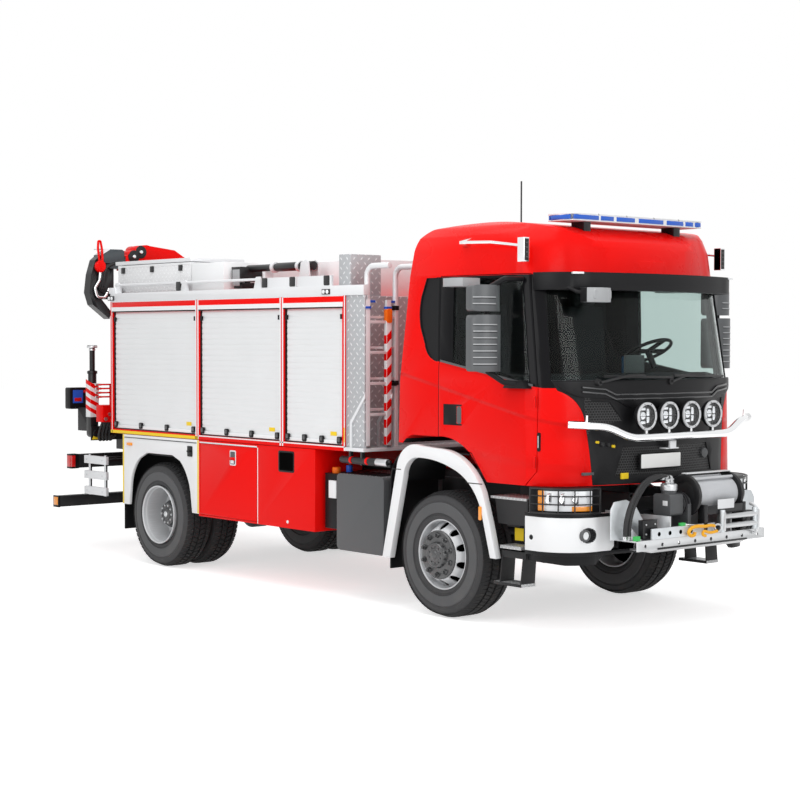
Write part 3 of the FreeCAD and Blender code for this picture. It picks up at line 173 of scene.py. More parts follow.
def mix_number(tree, factor, first, second):
    """A number between two, by a factor."""
    node = tree.nodes.new("ShaderNodeMix")
    node.data_type = "FLOAT"
    for value, name in ((factor, "Factor"), (first, "A"), (second, "B")):
        feed(tree, value, node.inputs[name])
    return node.outputs[0]


def mix_colour(tree, factor, first, second):
    """A colour between two, by a factor."""
    node = tree.nodes.new("ShaderNodeMix")
    node.data_type = "RGBA"
    colours = [socket for socket in node.inputs if socket.type == "RGBA"]
    feed(tree, factor, node.inputs["Factor"])
    feed(tree, first, colours[0])
    feed(tree, second, colours[1])
    return [socket for socket in node.outputs if socket.type == "RGBA"][0]


def noise(tree, vector, scale, detail=3.0):
    """A noise value over a surface."""
    node = tree.nodes.new("ShaderNodeTexNoise")
    feed(tree, vector, node.inputs["Vector"])
    feed(tree, scale, node.inputs["Scale"])
    node.inputs["Detail"].default_value = detail
    return node.outputs["Fac"]


def ramp(tree, value, start, end):
    """0 below start, 1 above end, smooth between."""
    node = tree.nodes.new("ShaderNodeMapRange")
    node.interpolation_type = "SMOOTHSTEP"
    for item, name in ((value, "Value"), (start, "From Min"), (end, "From Max")):
        feed(tree, item, node.inputs[name])
    return node.outputs["Result"]


def new_group(name, inputs, outputs):
    """An empty shader group with named sockets: returns the tree, its inputs and its outputs."""
    tree = bpy.data.node_groups.new(name, "ShaderNodeTree")
    for title, kind, default in inputs:
        socket = tree.interface.new_socket(title, in_out="INPUT", socket_type=kind)
        if default is not None:
            socket.default_value = default
    for title, kind in outputs:
        tree.interface.new_socket(title, in_out="OUTPUT", socket_type=kind)
    return tree, tree.nodes.new("NodeGroupInput").outputs, tree.nodes.new("NodeGroupOutput").inputs


DUST = (0.33, 0.29, 0.24, 1)


def wear_group():
    """Uneven gloss, fine grain and a slight change of shade, as on any used surface."""
    tree, given, out = new_group(
        "wear", [("Vector", "NodeSocketVector", None), ("Colour", "NodeSocketColor", (1, 1, 1, 1)),
                 ("Roughness", "NodeSocketFloat", 0.4), ("Patch Size", "NodeSocketFloat", 0.3),
                 ("Grain Size", "NodeSocketFloat", 0.003), ("Shade Change", "NodeSocketFloat", 0.05),
                 ("Gloss Change", "NodeSocketFloat", 0.08), ("Dust", "NodeSocketFloat", 0.2)],
        [("Colour", "NodeSocketColor"), ("Roughness", "NodeSocketFloat"), ("Grain", "NodeSocketFloat")])
    patches = noise(tree, given["Vector"], calc(tree, "DIVIDE", 1.0, given["Patch Size"]), 4.0)
    grain = noise(tree, given["Vector"], calc(tree, "DIVIDE", 1.0, given["Grain Size"]), 2.0)
    centred = calc(tree, "SUBTRACT", patches, 0.5)
    shade = calc(tree, "ADD", calc(tree, "MULTIPLY", centred, given["Shade Change"]), 1.0)
    brighter = tree.nodes.new("ShaderNodeVectorMath")
    brighter.operation = "SCALE"
    feed(tree, given["Colour"], brighter.inputs[0])
    feed(tree, shade, brighter.inputs["Scale"])
    split = tree.nodes.new("ShaderNodeSeparateXYZ")
    feed(tree, given["Vector"], split.inputs[0])
    low_down = calc(tree, "SUBTRACT", 1.0, ramp(tree, split.outputs["Z"], 0.1, 1.1))
    speckle = ramp(tree, noise(tree, given["Vector"], 9.0, 6.0), 0.42, 0.72)
    dust = calc(tree, "MULTIPLY", calc(tree, "MULTIPLY", low_down, speckle), given["Dust"])
    feed(tree, mix_colour(tree, dust, brighter.outputs[0], DUST), out["Colour"])
    gloss = calc(tree, "ADD", given["Roughness"], calc(tree, "MULTIPLY", centred, given["Gloss Change"]))
    feed(tree, calc(tree, "MAXIMUM", calc(tree, "ADD", gloss, calc(tree, "MULTIPLY", dust, 0.5)), 0.02),
         out["Roughness"])
    feed(tree, grain, out["Grain"])
    return tree


# lines on the cab's side: rise per metre behind the front axle, and height at the axle
WINDOW_BELT = (0.17, 2.1395)
WINDOW_BELT_FOOT = 1.955
CREASE = (0.2155, 1.9175)
LOWER_FOLD = (0.10, 1.420)


def cab_group():
    """The dark zone round the side windows, and the pressed crease and fold below them."""
    tree, given, out = new_group(
        "cab_zone", [("Vector", "NodeSocketVector", None), ("Axle Y", "NodeSocketFloat", AXLE_Y),
                     ("Top", "NodeSocketFloat", 2.862), ("Rear", "NodeSocketFloat", 0.13)],
        [("Dark", "NodeSocketFloat"), ("Crease", "NodeSocketFloat")])
    split = tree.nodes.new("ShaderNodeSeparateXYZ")
    feed(tree, given["Vector"], split.inputs[0])
    z = split.outputs["Z"]
    y = calc(tree, "SUBTRACT", split.outputs["Y"], given["Axle Y"])
    belt = calc(tree, "MAXIMUM", calc(tree, "MULTIPLY_ADD", y, *WINDOW_BELT), WINDOW_BELT_FOOT)
    dark = calc(tree, "MULTIPLY", calc(tree, "GREATER_THAN", z, belt),
                calc(tree, "LESS_THAN", z, given["Top"]))
    feed(tree, calc(tree, "MULTIPLY", dark, calc(tree, "LESS_THAN", y, given["Rear"])), out["Dark"])
    crease = calc(tree, "MULTIPLY_ADD", y, *CREASE)
    upper = ramp(tree, calc(tree, "SUBTRACT", z, crease), -0.010, 0.030)
    fold = calc(tree, "MULTIPLY_ADD", y, *LOWER_FOLD)
    lower = ramp(tree, calc(tree, "SUBTRACT", z, fold), -0.020, 0.060)
    feed(tree, calc(tree, "MULTIPLY_ADD", lower, 0.6, upper), out["Crease"])
    return tree


def from_middle(tree, value):
    """How far a value is from the middle of its cell, in cells."""
    return calc(tree, "ABSOLUTE", calc(tree, "SUBTRACT", calc(tree, "FRACT", value), 0.5))


def mesh_group():
    """A six-sided open mesh on faces that look forward."""
    tree, given, out = new_group("open_mesh", [("Vector", "NodeSocketVector", None),
                                               ("Cell", "NodeSocketFloat", 0.02)],
                                 [("Height", "NodeSocketFloat")])
    split = tree.nodes.new("ShaderNodeSeparateXYZ")
    feed(tree, given["Vector"], split.inputs[0])
    across = calc(tree, "DIVIDE", split.outputs["X"], given["Cell"])
    up = calc(tree, "DIVIDE", split.outputs["Z"], calc(tree, "MULTIPLY", given["Cell"], 0.85))
    shift = calc(tree, "MULTIPLY", calc(tree, "FLOORED_MODULO", calc(tree, "FLOOR", up), 2.0), 0.5)
    u = from_middle(tree, calc(tree, "ADD", across, shift))
    v = from_middle(tree, up)
    hole = calc(tree, "MAXIMUM", v, calc(tree, "MULTIPLY_ADD", v, 0.5, calc(tree, "MULTIPLY", u, 0.9)))
    feed(tree, ramp(tree, hole, 0.34, 0.42), out["Height"])
    return tree


# half-sizes of a raised lozenge, in cells
LOZENGE_LENGTH, LOZENGE_WIDTH = 0.46, 0.17


def tread_plate_group():
    """Raised lozenges in alternate directions, laid out on whichever way the face looks."""
    tree, given, out = new_group("tread_plate", [("Vector", "NodeSocketVector", None),
                                                 ("Pitch", "NodeSocketFloat", 0.03)],
                                 [("Height", "NodeSocketFloat")])
    split = tree.nodes.new("ShaderNodeSeparateXYZ")
    feed(tree, given["Vector"], split.inputs[0])
    facing = tree.nodes.new("ShaderNodeSeparateXYZ")
    feed(tree, tree.nodes.new("ShaderNodeNewGeometry").outputs["True Normal"], facing.inputs[0])
    level = calc(tree, "GREATER_THAN", calc(tree, "ABSOLUTE", facing.outputs["Z"]), 0.6)
    x, y, z = (split.outputs[letter] for letter in "XYZ")
    across = mix_number(tree, level, calc(tree, "ADD", x, y), x)
    up = mix_number(tree, level, z, y)
    turned_u = calc(tree, "DIVIDE", calc(tree, "ADD", across, up), given["Pitch"])
    turned_v = calc(tree, "DIVIDE", calc(tree, "SUBTRACT", across, up), given["Pitch"])
    cells = calc(tree, "ADD", calc(tree, "FLOOR", turned_u), calc(tree, "FLOOR", turned_v))
    odd = calc(tree, "FLOORED_MODULO", cells, 2.0)
    u = from_middle(tree, turned_u)
    v = from_middle(tree, turned_v)
    long_way = mix_number(tree, odd, u, v)
    short_way = mix_number(tree, odd, v, u)
    reach = calc(tree, "ADD", calc(tree, "DIVIDE", long_way, LOZENGE_LENGTH),
                 calc(tree, "DIVIDE", short_way, LOZENGE_WIDTH))
    feed(tree, calc(tree, "SUBTRACT", 1.0, ramp(tree, reach, 0.55, 1.0)), out["Height"])
    return tree


GROUPS = {}
MATERIALS = {}
# painted highlight: near-white laid on the raised lozenges of every tread plate
PLATE_RIDGE_HIGHLIGHT = (0.96, 0.97, 0.98, 1)
# painted shade: the holes of the front mesh are near-black, the wires dark grey
MESH_HOLE_SHADE, MESH_WIRE = (0.002, 0.002, 0.002, 1), (0.045, 0.045, 0.047, 1)
WINDOW_ZONE = (0.006, 0.006, 0.007, 1)
GRAIN_HEIGHT = 0.0006
# kind: the group's input for its size, the output that is its height, and how high it stands
RELIEFS = {"plate": ("Pitch", "Height", 0.0030), "mesh": ("Cell", "Height", 0.006),
           "cab": (None, "Crease", 0.016)}
RED = (0.78, 0.004, 0.003)
LACQUER = {"coat": 0.04, "shade": 0.03, "dust": 0.0, "shine": 0.08}
# name: colour, metallic, roughness, and what differs from a plain satin paint
LOOKS = {
    "red_paint": (RED, 0, 0.30, {**LACQUER, "grain": 0.02}),
    "white_paint": ((0.80, 0.81, 0.82), 0, 0.30, {"coat": 0.1, "shade": 0.03, "grain": 0.03, "dust": 0.04}),
    "black_paint": ((0.010, 0.010, 0.011), 0, 0.32, {"dust": 0.0, "shine": 0.35}),
    "frame_paint": ((0.013, 0.013, 0.014), 0, 0.5, {"dust": 0.03}),
    "grey_paint": ((0.085, 0.088, 0.092), 0, 0.42, {"dust": 0.02, "shine": 0.25}),
    # pale grey: the mast's label, and a painted highlight on the mirror pods, lids and ribs
    "pale_grey_and_highlight": ((0.36, 0.37, 0.38), 0, 0.42, {"dust": 0.02}),
    # black plastic; also painted shadow where thin strips of it lie under edges and ribs
    "black_plastic": ((0.007, 0.007, 0.008), 0, 0.40, {"grain": 0.10, "dust": 0.0, "shine": 0.16}),
    "grey_plastic": ((0.10, 0.103, 0.107), 0, 0.5, {"grain": 0.15, "dust": 0.0}),
    "mirror_plastic": ((0.095, 0.10, 0.105), 0, 0.40, {"grain": 0.1, "dust": 0.0, "shine": 0.4}),
    "orange_paint": ((0.85, 0.16, 0.01), 0, 0.4, {}),
    "yellow_paint": ((0.85, 0.60, 0.02), 0, 0.4, {}),
    "blue_plastic": ((0.02, 0.10, 0.55), 0, 0.35, {}),
    "green_plastic": ((0.05, 0.45, 0.10), 0, 0.35, {}),
    "shutter": ((0.74, 0.75, 0.76), 0.35, 0.36, {"shade": 0.06, "gloss": 0.15}),
    "aluminium": ((0.72, 0.73, 0.745), 0.22, 0.40, {"shade": 0.08, "gloss": 0.2, "grain": 0.05,
                                                    "dust": 0.0}),
    "tread_plate": ((0.42, 0.43, 0.445), 0.20, 0.38, {"shade": 0.10, "gloss": 0.2, "plate": 0.085,
                                                      "dust": 0.0}),
    "box_plate": ((0.74, 0.745, 0.755), 0.05, 0.40, {"shade": 0.06, "gloss": 0.2, "plate": 0.070,
                                                     "dust": 0.0}),
    "step_plate": ((0.40, 0.405, 0.41), 0.5, 0.38, {"shade": 0.10, "plate": 0.040, "dust": 0.0}),
    "tank_plate": ((0.16, 0.163, 0.168), 0.2, 0.42, {"plate": 0.044, "dust": 0.0}),
    "steel": ((0.55, 0.56, 0.57), 0.9, 0.36, {"shade": 0.12, "gloss": 0.25, "grain": 0.15, "dust": 0.2}),
    "galvanised": ((0.60, 0.63, 0.65), 0.5, 0.46, {"shade": 0.25, "gloss": 0.25, "patch": 0.05,
                                                   "dust": 0.0}),
    "rim_silver": ((0.56, 0.57, 0.585), 0.12, 0.42, {"shade": 0.08, "dust": 0.04, "shine": 0.4}),
    "chrome": ((0.86, 0.87, 0.88), 1.0, 0.10, {"shade": 0.02, "gloss": 0.05}),
    "cast_iron": ((0.035, 0.035, 0.038), 0.2, 0.50, {"grain": 0.3, "dust": 0.04}),
    "hub_paint": ((0.030, 0.031, 0.033), 0, 0.26, {"grain": 0.1, "dust": 0.0, "shine": 0.8}),
    "tyre": ((0.080, 0.081, 0.084), 0, 0.60, {"grain": 0.2, "shade": 0.25, "dust": 0.05, "shine": 0.30}),
    "tyre_edge": ((0.040, 0.040, 0.042), 0, 0.62, {"grain": 0.2, "shade": 0.25, "dust": 0.04,
                                                   "shine": 0.30}),
    "tread_rubber": ((0.020, 0.020, 0.021), 0, 0.75, {"grain": 0.3, "shade": 0.2, "dust": 0.05}),
    "rubber": ((0.012, 0.012, 0.013), 0, 0.50, {"grain": 0.1, "dust": 0.0, "shine": 0.35}),
    "rope": ((0.52, 0.53, 0.55), 0.2, 0.55, {"grain": 0.3, "dust": 0.0}),
    "seat_fabric": ((0.030, 0.031, 0.034), 0, 0.9, {"grain": 0.15, "dust": 0.0, "shine": 0.1}),
    "red_lens": ((0.60, 0.01, 0.01), 0, 0.18, {"coat": 0.8, "dust": 0.0}),
    "amber_lens": ((0.90, 0.30, 0.01), 0, 0.18, {"coat": 0.8, "dust": 0.0}),
    "blue_lens": ((0.010, 0.10, 0.55), 0, 0.14, {"coat": 0.5, "dust": 0.0}),
    "white_lens": ((0.80, 0.82, 0.84), 0, 0.15, {"coat": 0.8, "dust": 0.0}),
    "mirror_glass": ((0.80, 0.83, 0.85), 1.0, 0.03, {"shade": 0.0, "gloss": 0.0, "dust": 0.0}),
    "screen_glass": ((0.02, 0.06, 0.12), 0, 0.10, {"coat": 0.5, "dust": 0.0}),
    "plate_white": ((0.82, 0.82, 0.81), 0, 0.4, {"dust": 0.0}),
    "orange_hook": ((0.83, 0.40, 0.02), 0, 0.4, {"dust": 0.1}),
    # painted shade: a near-black for holes and openings, where only shade is seen
    "hole_shade": ((0.003, 0.003, 0.003), 0, 0.9, {"dust": 0.0, "shine": 0.0}),
    "slate_paint": ((0.055, 0.065, 0.072), 0, 0.4, {"dust": 0.0}),
    "cab_paint": (RED, 0, 0.28, {**LACQUER, "grain": 0.01, "cab": True}),
    "front_mesh": ((0.014, 0.014, 0.015), 0, 0.5, {"mesh": 0.024, "dust": 0.0}),
    "cab_lining": ((0.022, 0.023, 0.025), 0, 0.8, {"grain": 0.03, "dust": 0.0, "shine": 0.1}),
}
# name: colour, roughness, bend of the light
CLEAR = {"cab_glass": ((0.66, 0.75, 0.73), 0.03, 1.18), "lamp_glass": ((0.96, 0.97, 0.98), 0.0, 1.25)}


def material(name):
    """The material of that name, made when it is first asked for."""
    if name in MATERIALS:
        return MATERIALS[name]
    if "wear" not in GROUPS:
        GROUPS.update(wear=wear_group(), plate=tread_plate_group(), cab=cab_group(), mesh=mesh_group())
    made = bpy.data.materials.new(name)
    made.use_nodes = True
    MATERIALS[name] = made
    if name in CLEAR:
        clear_material(made, *CLEAR[name])
        return made
    colour, metallic, roughness, extra = LOOKS[name]
    tree = made.node_tree
    shader = tree.nodes["Principled BSDF"]
    place = tree.nodes.new("ShaderNodeTexCoord").outputs["Object"]
    wear = tree.nodes.new("ShaderNodeGroup")
    wear.node_tree = GROUPS["wear"]
    for title, value in (("Vector", place), ("Colour", (*colour, 1)), ("Roughness", roughness),
                         ("Patch Size", extra.get("patch", 0.3)), ("Shade Change", extra.get("shade", 0.08)),
                         ("Gloss Change", extra.get("gloss", 0.10)), ("Dust", extra.get("dust", 0.08))):
        feed(tree, value, wear.inputs[title])
    shown, gloss = wear.outputs["Colour"], wear.outputs["Roughness"]
    shader.inputs["Metallic"].default_value = metallic
    shader.inputs["Specular IOR Level"].default_value = extra.get("shine", 0.25)
    shader.inputs["Coat Weight"].default_value = extra.get("coat", 0)
    shader.inputs["Coat Roughness"].default_value = 0.06
    normal = raised(tree, wear.outputs["Grain"], None, GRAIN_HEIGHT, extra.get("grain", 0.1))
    for kind, (size_name, output, height) in RELIEFS.items():
        if kind in extra:
            group = tree.nodes.new("ShaderNodeGroup")
            group.node_tree = GROUPS[kind]
            feed(tree, place, group.inputs["Vector"])
            if size_name:
                group.inputs[size_name].default_value = extra[kind]
            normal = raised(tree, group.outputs[output], normal, height)
            if kind == "plate":
                # painted highlight: the raised lozenges turn towards near-white, as where light catches them
                ridge_highlight = calc(tree, "MULTIPLY", group.outputs["Height"], 0.55)
                shown = mix_colour(tree, ridge_highlight, shown, PLATE_RIDGE_HIGHLIGHT)
            # painted shade in the holes of the front mesh
            if kind == "mesh":
                shown = mix_colour(tree, group.outputs["Height"], MESH_HOLE_SHADE, MESH_WIRE)
            if kind == "cab":
                shown = mix_colour(tree, group.outputs["Dark"], shown, WINDOW_ZONE)
                gloss = mix_number(tree, group.outputs["Dark"], gloss, 0.16)
    feed(tree, shown, shader.inputs["Base Color"])
    feed(tree, gloss, shader.inputs["Roughness"])
    feed(tree, normal, shader.inputs["Normal"])
    return made


def raised(tree, height, normal, distance, strength=0.9):
    """A normal bent by a height; with no normal given, the surface's own."""
    bump = tree.nodes.new("ShaderNodeBump")
    bump.inputs["Distance"].default_value = distance
    bump.inputs["Strength"].default_value = strength
    feed(tree, height, bump.inputs["Height"])
    if normal is not None:
        feed(tree, normal, bump.inputs["Normal"])
    return bump.outputs["Normal"]


def clear_material(made, colour, roughness, bend):
    """Thin clear glass: mostly a tinted see-through with a mirror-like skin."""
    tree = made.node_tree
    shader = tree.nodes["Principled BSDF"]
    shader.inputs["Base Color"].default_value = (*colour, 1)
    shader.inputs["Roughness"].default_value = roughness
    shader.inputs["Transmission Weight"].default_value = 1
    shader.inputs["IOR"].default_value = bend


# ------------------------------------------------------------------ mesh helpers
def link(name, mesh):
    """A new object at the origin for a mesh."""
    item = bpy.data.objects.new(name, mesh)
    bpy.context.scene.collection.objects.link(item)
    return item


def settled(item):
    """The item's mesh with its modifiers worked in, and the modifiers taken off."""
    bpy.context.view_layer.update()
    graph = bpy.context.evaluated_depsgraph_get()
    mesh = bpy.data.meshes.new_from_object(item.evaluated_get(graph), preserve_all_data_layers=True,
                                           depsgraph=graph)
    item.modifiers.clear()
    item.data = mesh
    return item


def soften(item, bevel, segments=2, angle=32):
    """Round the sharp edges of an item and shade it smooth between them."""
    if bevel:
        rounding = item.modifiers.new("rounding", "BEVEL")
        rounding.width = bevel
        rounding.segments = segments
        rounding.limit_method = "ANGLE"
        rounding.angle_limit = math.radians(angle)
        rounding.harden_normals = False
        rounding.use_clamp_overlap = True
        settled(item)
    for face in item.data.polygons:
        face.use_smooth = True
    item.data.set_sharp_from_angle(angle=math.radians(angle))
    return item


def dress(node, look, bevel=0.003, angle=32, segments=2, rule=None, looks=()):
    """A softened copy of a CAD node that stands for it. A rule may give faces another of the looks."""
    mesh = nodes[node].data.copy()
    mesh.materials.clear()
    for title in (look, *looks):
        mesh.materials.append(material(title))
    shape = bmesh.new()
    shape.from_mesh(mesh)
    bmesh.ops.remove_doubles(shape, verts=shape.verts, dist=0.00002)
    bmesh.ops.dissolve_limit(shape, angle_limit=math.radians(0.6), verts=shape.verts, edges=shape.edges)
    for face in shape.faces:
        face.material_index = rule(face.calc_center_median(), face.normal) if rule else 0
    shape.to_mesh(mesh)
    shape.free()
    item = link(node + "_skin", mesh)
    soften(item, bevel, segments, angle)
    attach(item, bodies[node])
    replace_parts(item, node)
    return item


# ------------------------------------------------------------------ shapes drawn here
BLOCK_RINGS = [(0, 1, 3, 2), (4, 6, 7, 5), (0, 4, 5, 1), (2, 3, 7, 6), (0, 2, 6, 4), (1, 5, 7, 3)]


class Shape:
    """A mesh put together from simple solids. Each solid may name its own look."""

    def __init__(self, name, node, look):
        self.name, self.node, self.looks, self.mesh = name, node, [look], bmesh.new()

    def faces(self, points, rings, look=None):
        """Corner points and the rings of corners that make the faces."""
        look = look or self.looks[0]
        if look not in self.looks:
            self.looks.append(look)
        corners = [self.mesh.verts.new(point) for point in points]
        for ring in rings:
            self.mesh.faces.new([corners[number] for number in ring]).material_index = self.looks.index(look)
        return self

    def box(self, x, y, z, look=None):
        """A block between limits on each axis."""
        points = [(a, b, c) for a in x for b in y for c in z]
        return self.faces(points, BLOCK_RINGS, look)

    def prism(self, outline, low, high, axis="X", look=None):
        """An outline in the other two axes, filled between two values on this one."""
        place = {"X": lambda a, b, t: (t, a, b), "Y": lambda a, b, t: (a, t, b),
                 "Z": lambda a, b, t: (a, b, t)}[axis]
        count = len(outline)
        points = [place(a, b, t) for t in (low, high) for a, b in outline]
        rings = [tuple(range(count)), tuple(range(count, 2 * count))]
        rings += [(i, (i + 1) % count, (i + 1) % count + count, i + count) for i in range(count)]
        return self.faces(points, rings, look)

    def lathe(self, profile, centre, axis="X", sides=48, look=None):
        """A profile of (distance along the axis, radius) turned about it; a radius of 0 closes an end."""
        order = {"X": (0, 1, 2), "Y": (1, 2, 0), "Z": (2, 0, 1)}[axis]
        points, rings, rows = [], [], []
        for reach, radius in profile:
            row = []
            for step in range(sides if radius > 1e-6 else 1):
                angle = 2 * math.pi * step / sides
                spot = [0, 0, 0]
                spot[order[0]] = centre[order[0]] + reach
                spot[order[1]] = centre[order[1]] + radius * math.cos(angle)
                spot[order[2]] = centre[order[2]] + radius * math.sin(angle)
                row.append(len(points))
                points.append(spot)
            rows.append(row)
        for first, second in zip(rows, rows[1:]):
            for step in range(sides):
                ring = [first[step % len(first)], first[(step + 1) % len(first)],
                        second[(step + 1) % len(second)], second[step % len(second)]]
                ring = list(dict.fromkeys(ring))
                if len(ring) > 2:
                    rings.append(ring)
        return self.faces(points, rings, look)

    def pin(self, radius, reach, centre, axis="X", sides=48, look=None):
        """A round bar between two distances along an axis."""
        near, far = reach
        return self.lathe([(near, 0), (near, radius), (far, radius), (far, 0)], centre, axis, sides, look)

    def ring(self, radii, reach, centre, axis="X", sides=48, look=None):
        """A collar of two radii, inner and outer, between two distances along an axis."""
        (inner, outer), (near, far) = radii, reach
        profile = [(near, inner), (near, outer), (far, outer), (far, inner)]
        return self.lathe(profile, centre, axis, sides, look)

    def stud(self, radii, reach, centre, axis="X", sides=48, look=None):
        """A round head, and its foot sunk open in a face: two radii and two distances along an axis."""
        (head, foot), (near, far) = radii, reach
        return self.lathe([(near, 0), (near, head), (far, foot)], centre, axis, sides, look)

    def tube(self, path, radius, sides=10, look=None, curved=0, ribs=0):
        """A round bar along points; curved adds points between them, ribs make it swell and shrink."""
        path = [Vector(point) for point in path]
        if curved:
            path = smooth_path(path, curved)
        points, rings = [], []
        side = None
        for number, spot in enumerate(path):
            ahead = (path[min(number + 1, len(path) - 1)] - path[max(number - 1, 0)]).normalized()
            if side is None:
                side = ahead.orthogonal().normalized()
            side = (side - ahead * side.dot(ahead)).normalized()
            other = ahead.cross(side)
            for step in range(sides):
                angle = 2 * math.pi * step / sides
                reach = radius * (1 + ribs * (number % 2))
                points.append(spot + (side * math.cos(angle) + other * math.sin(angle)) * reach)
        for row in range(len(path) - 1):
            for step in range(sides):
                following = (step + 1) % sides
                rings.append((row * sides + step, row * sides + following,
                              (row + 1) * sides + following, (row + 1) * sides + step))
        last = (len(path) - 1) * sides
        rings += [tuple(range(sides)), tuple(range(last, last + sides))]
        return self.faces(points, rings, look)

    def turn(self, degrees, axis, pivot):
        """Turn everything drawn so far."""
        bmesh.ops.rotate(self.mesh, verts=self.mesh.verts, cent=pivot,
                         matrix=Matrix.Rotation(math.radians(degrees), 3, axis))
        return self

    def plain(self, side=RIGHT):
        """The object as drawn, or mirrored for the left side."""
        if side == LEFT:
            bmesh.ops.scale(self.mesh, vec=(-1, 1, 1), verts=self.mesh.verts)
        bmesh.ops.recalc_face_normals(self.mesh, faces=self.mesh.faces)
        mesh = bpy.data.meshes.new(self.name)
        self.mesh.to_mesh(mesh)
        self.mesh.free()
        for look in self.looks:
            mesh.materials.append(material(look))
        return link(self.name, mesh)

    def done(self, bevel=0.0, angle=32, side=RIGHT, segments=2):
        """The finished object, riding with its CAD body, and mirrored where it is for the left side."""
        item = soften(self.plain(side), bevel, segments, angle)
        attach(item, bodies[self.node])
        return item


def cut_away(item, cutter):
    """The item less the cutter, which is then thrown away."""
    cutting = item.modifiers.new("cut", "BOOLEAN")
    cutting.operation = "DIFFERENCE"
    cutting.solver = "EXACT"
    cutting.object = cutter
    settled(item)
    bpy.data.objects.remove(cutter)
    return item


def smooth_path(path, steps):
    """Extra points on a smooth curve through the given ones."""
    ends = [path[0]] + path + [path[-1]]
    out = []
    for a, b, c, d in zip(ends, ends[1:], ends[2:], ends[3:]):
        for step in range(steps):
            t = step / steps
            out.append(0.5 * (2 * b + (c - a) * t + (2 * a - 5 * b + 4 * c - d) * t * t
                              + (3 * b - a - 3 * c + d) * t ** 3))
    return out + [path[-1]]


def rounded(x, z, radius, steps=4):
    """The outline of a rectangle with round corners."""
    corners = ((x[1] - radius, z[1] - radius, 0), (x[0] + radius, z[1] - radius, 90),
               (x[0] + radius, z[0] + radius, 180), (x[1] - radius, z[0] + radius, 270))
    out = []
    for centre_x, centre_z, first in corners:
        for step in range(steps + 1):
            angle = math.radians(first + 90 * step / steps)
            out.append((centre_x + radius * math.cos(angle), centre_z + radius * math.sin(angle)))
    return out


def repeat_tree():
    """Copies of a shape, each moved and turned one step further than the last, in one material."""
    tree = bpy.data.node_groups.new("repeat", "GeometryNodeTree")
    for title, kind in (("Geometry", "NodeSocketGeometry"), ("Count", "NodeSocketInt"),
                        ("Step", "NodeSocketVector"), ("Turn", "NodeSocketVector"),
                        ("Pivot", "NodeSocketVector"), ("Material", "NodeSocketMaterial")):
        tree.interface.new_socket(title, in_out="INPUT", socket_type=kind)
    tree.interface.new_socket("Geometry", in_out="OUTPUT", socket_type="NodeSocketGeometry")
    given = tree.nodes.new("NodeGroupInput").outputs
    points = tree.nodes.new("GeometryNodePoints")
    feed(tree, given["Count"], points.inputs["Count"])
    number = tree.nodes.new("GeometryNodeInputIndex").outputs[0]
    so_far = {}
    for title in ("Step", "Turn"):
        scaled = tree.nodes.new("ShaderNodeVectorMath")
        scaled.operation = "SCALE"
        feed(tree, given[title], scaled.inputs[0])
        feed(tree, number, scaled.inputs["Scale"])
        so_far[title] = scaled.outputs[0]
    copies = tree.nodes.new("GeometryNodeInstanceOnPoints")
    turned = tree.nodes.new("GeometryNodeRotateInstances")
    turned.inputs["Local Space"].default_value = False
    moved = tree.nodes.new("GeometryNodeTranslateInstances")
    moved.inputs["Local Space"].default_value = False
    solid = tree.nodes.new("GeometryNodeRealizeInstances")
    painted = tree.nodes.new("GeometryNodeSetMaterial")
    for source, target in ((points.outputs[0], copies.inputs["Points"]),
                           (given["Geometry"], copies.inputs["Instance"]),
                           (copies.outputs[0], turned.inputs["Instances"]),
                           (so_far["Turn"], turned.inputs["Rotation"]),
                           (given["Pivot"], turned.inputs["Pivot Point"]),
                           (turned.outputs[0], moved.inputs["Instances"]),
                           (so_far["Step"], moved.inputs["Translation"]),
                           (moved.outputs[0], solid.inputs[0]),
                           (solid.outputs[0], painted.inputs["Geometry"]),
                           (given["Material"], painted.inputs["Material"])):
        tree.links.new(source, target)
    tree.links.new(painted.outputs[0], tree.nodes.new("NodeGroupOutput").inputs[0])
    return tree


def repeat(item, look, count, step=(0, 0, 0), turn=(0, 0, 0), pivot=(0, 0, 0)):
    """Repeat an item in a row or a ring."""
    if "repeat" not in GROUPS:
        GROUPS["repeat"] = repeat_tree()
    copier = item.modifiers.new("repeat", "NODES")
    values = {"Count": count, "Step": step, "Turn": [math.radians(angle) for angle in turn], "Pivot": pivot,
              "Material": material(look)}
    copier.node_group = GROUPS["repeat"]
    for socket in copier.node_group.interface.items_tree:
        if socket.in_out == "INPUT" and socket.name in values:
            copier[socket.identifier] = values[socket.name]
    return settled(item)


# ------------------------------------------------------------------ wheels
TWIN_SPACING = 0.345
FRONT_BLOCKS, FRONT_BLOCK_SHARE, REAR_BLOCKS = 84, 0.88, 62
PALE_WALL = (0.346, 0.436)
TREAD_RADIUS, TREAD_TOP, TREAD_FOOT, SHOULDER_DROP = 0.535, 0.5333, 0.505, 0.026
# each row of blocks: its inner and outer edge as shares of the half-width, and its slant
TREAD_ROWS = ((-0.93, -0.53, 0.012), (-0.43, -0.05, -0.012), (0.05, 0.43, 0.012), (0.53, 0.93, -0.012))
NUTS, NUT_CIRCLE = 10, 0.1675
HAND_HOLES, HOLE_CIRCLE, HOLE_RADIUS = 10, 0.239, 0.031


def tyre_profile(half):
    """The section of a truck tyre of a half-width: beads, lettering band, shoulder and grooved crown."""
    walls = [(0.78, 0.286), (0.91, 0.298), (0.955, 0.316), (0.965, 0.326), (0.935, 0.334), (0.935, 0.342),
             (0.990, 0.350), (1.0, 0.390), (0.990, 0.432), (0.950, 0.438), (0.945, 0.448), (0.965, 0.456),
             (0.93, 0.480), (0.90, 0.492), (0.84, 0.512)]
    crown = [(0.72, 0.519)]
    for groove in (0.48, 0.0):
        crown += [(groove + 0.05, 0.520), (groove + 0.045, 0.510), (groove - 0.045, 0.510),
                  (groove - 0.05, 0.520)]
    one_side = walls + crown[:-2]
    other = [(-share, radius) for share, radius in reversed(one_side)]
    return [(half * share, radius) for share, radius in one_side + other]


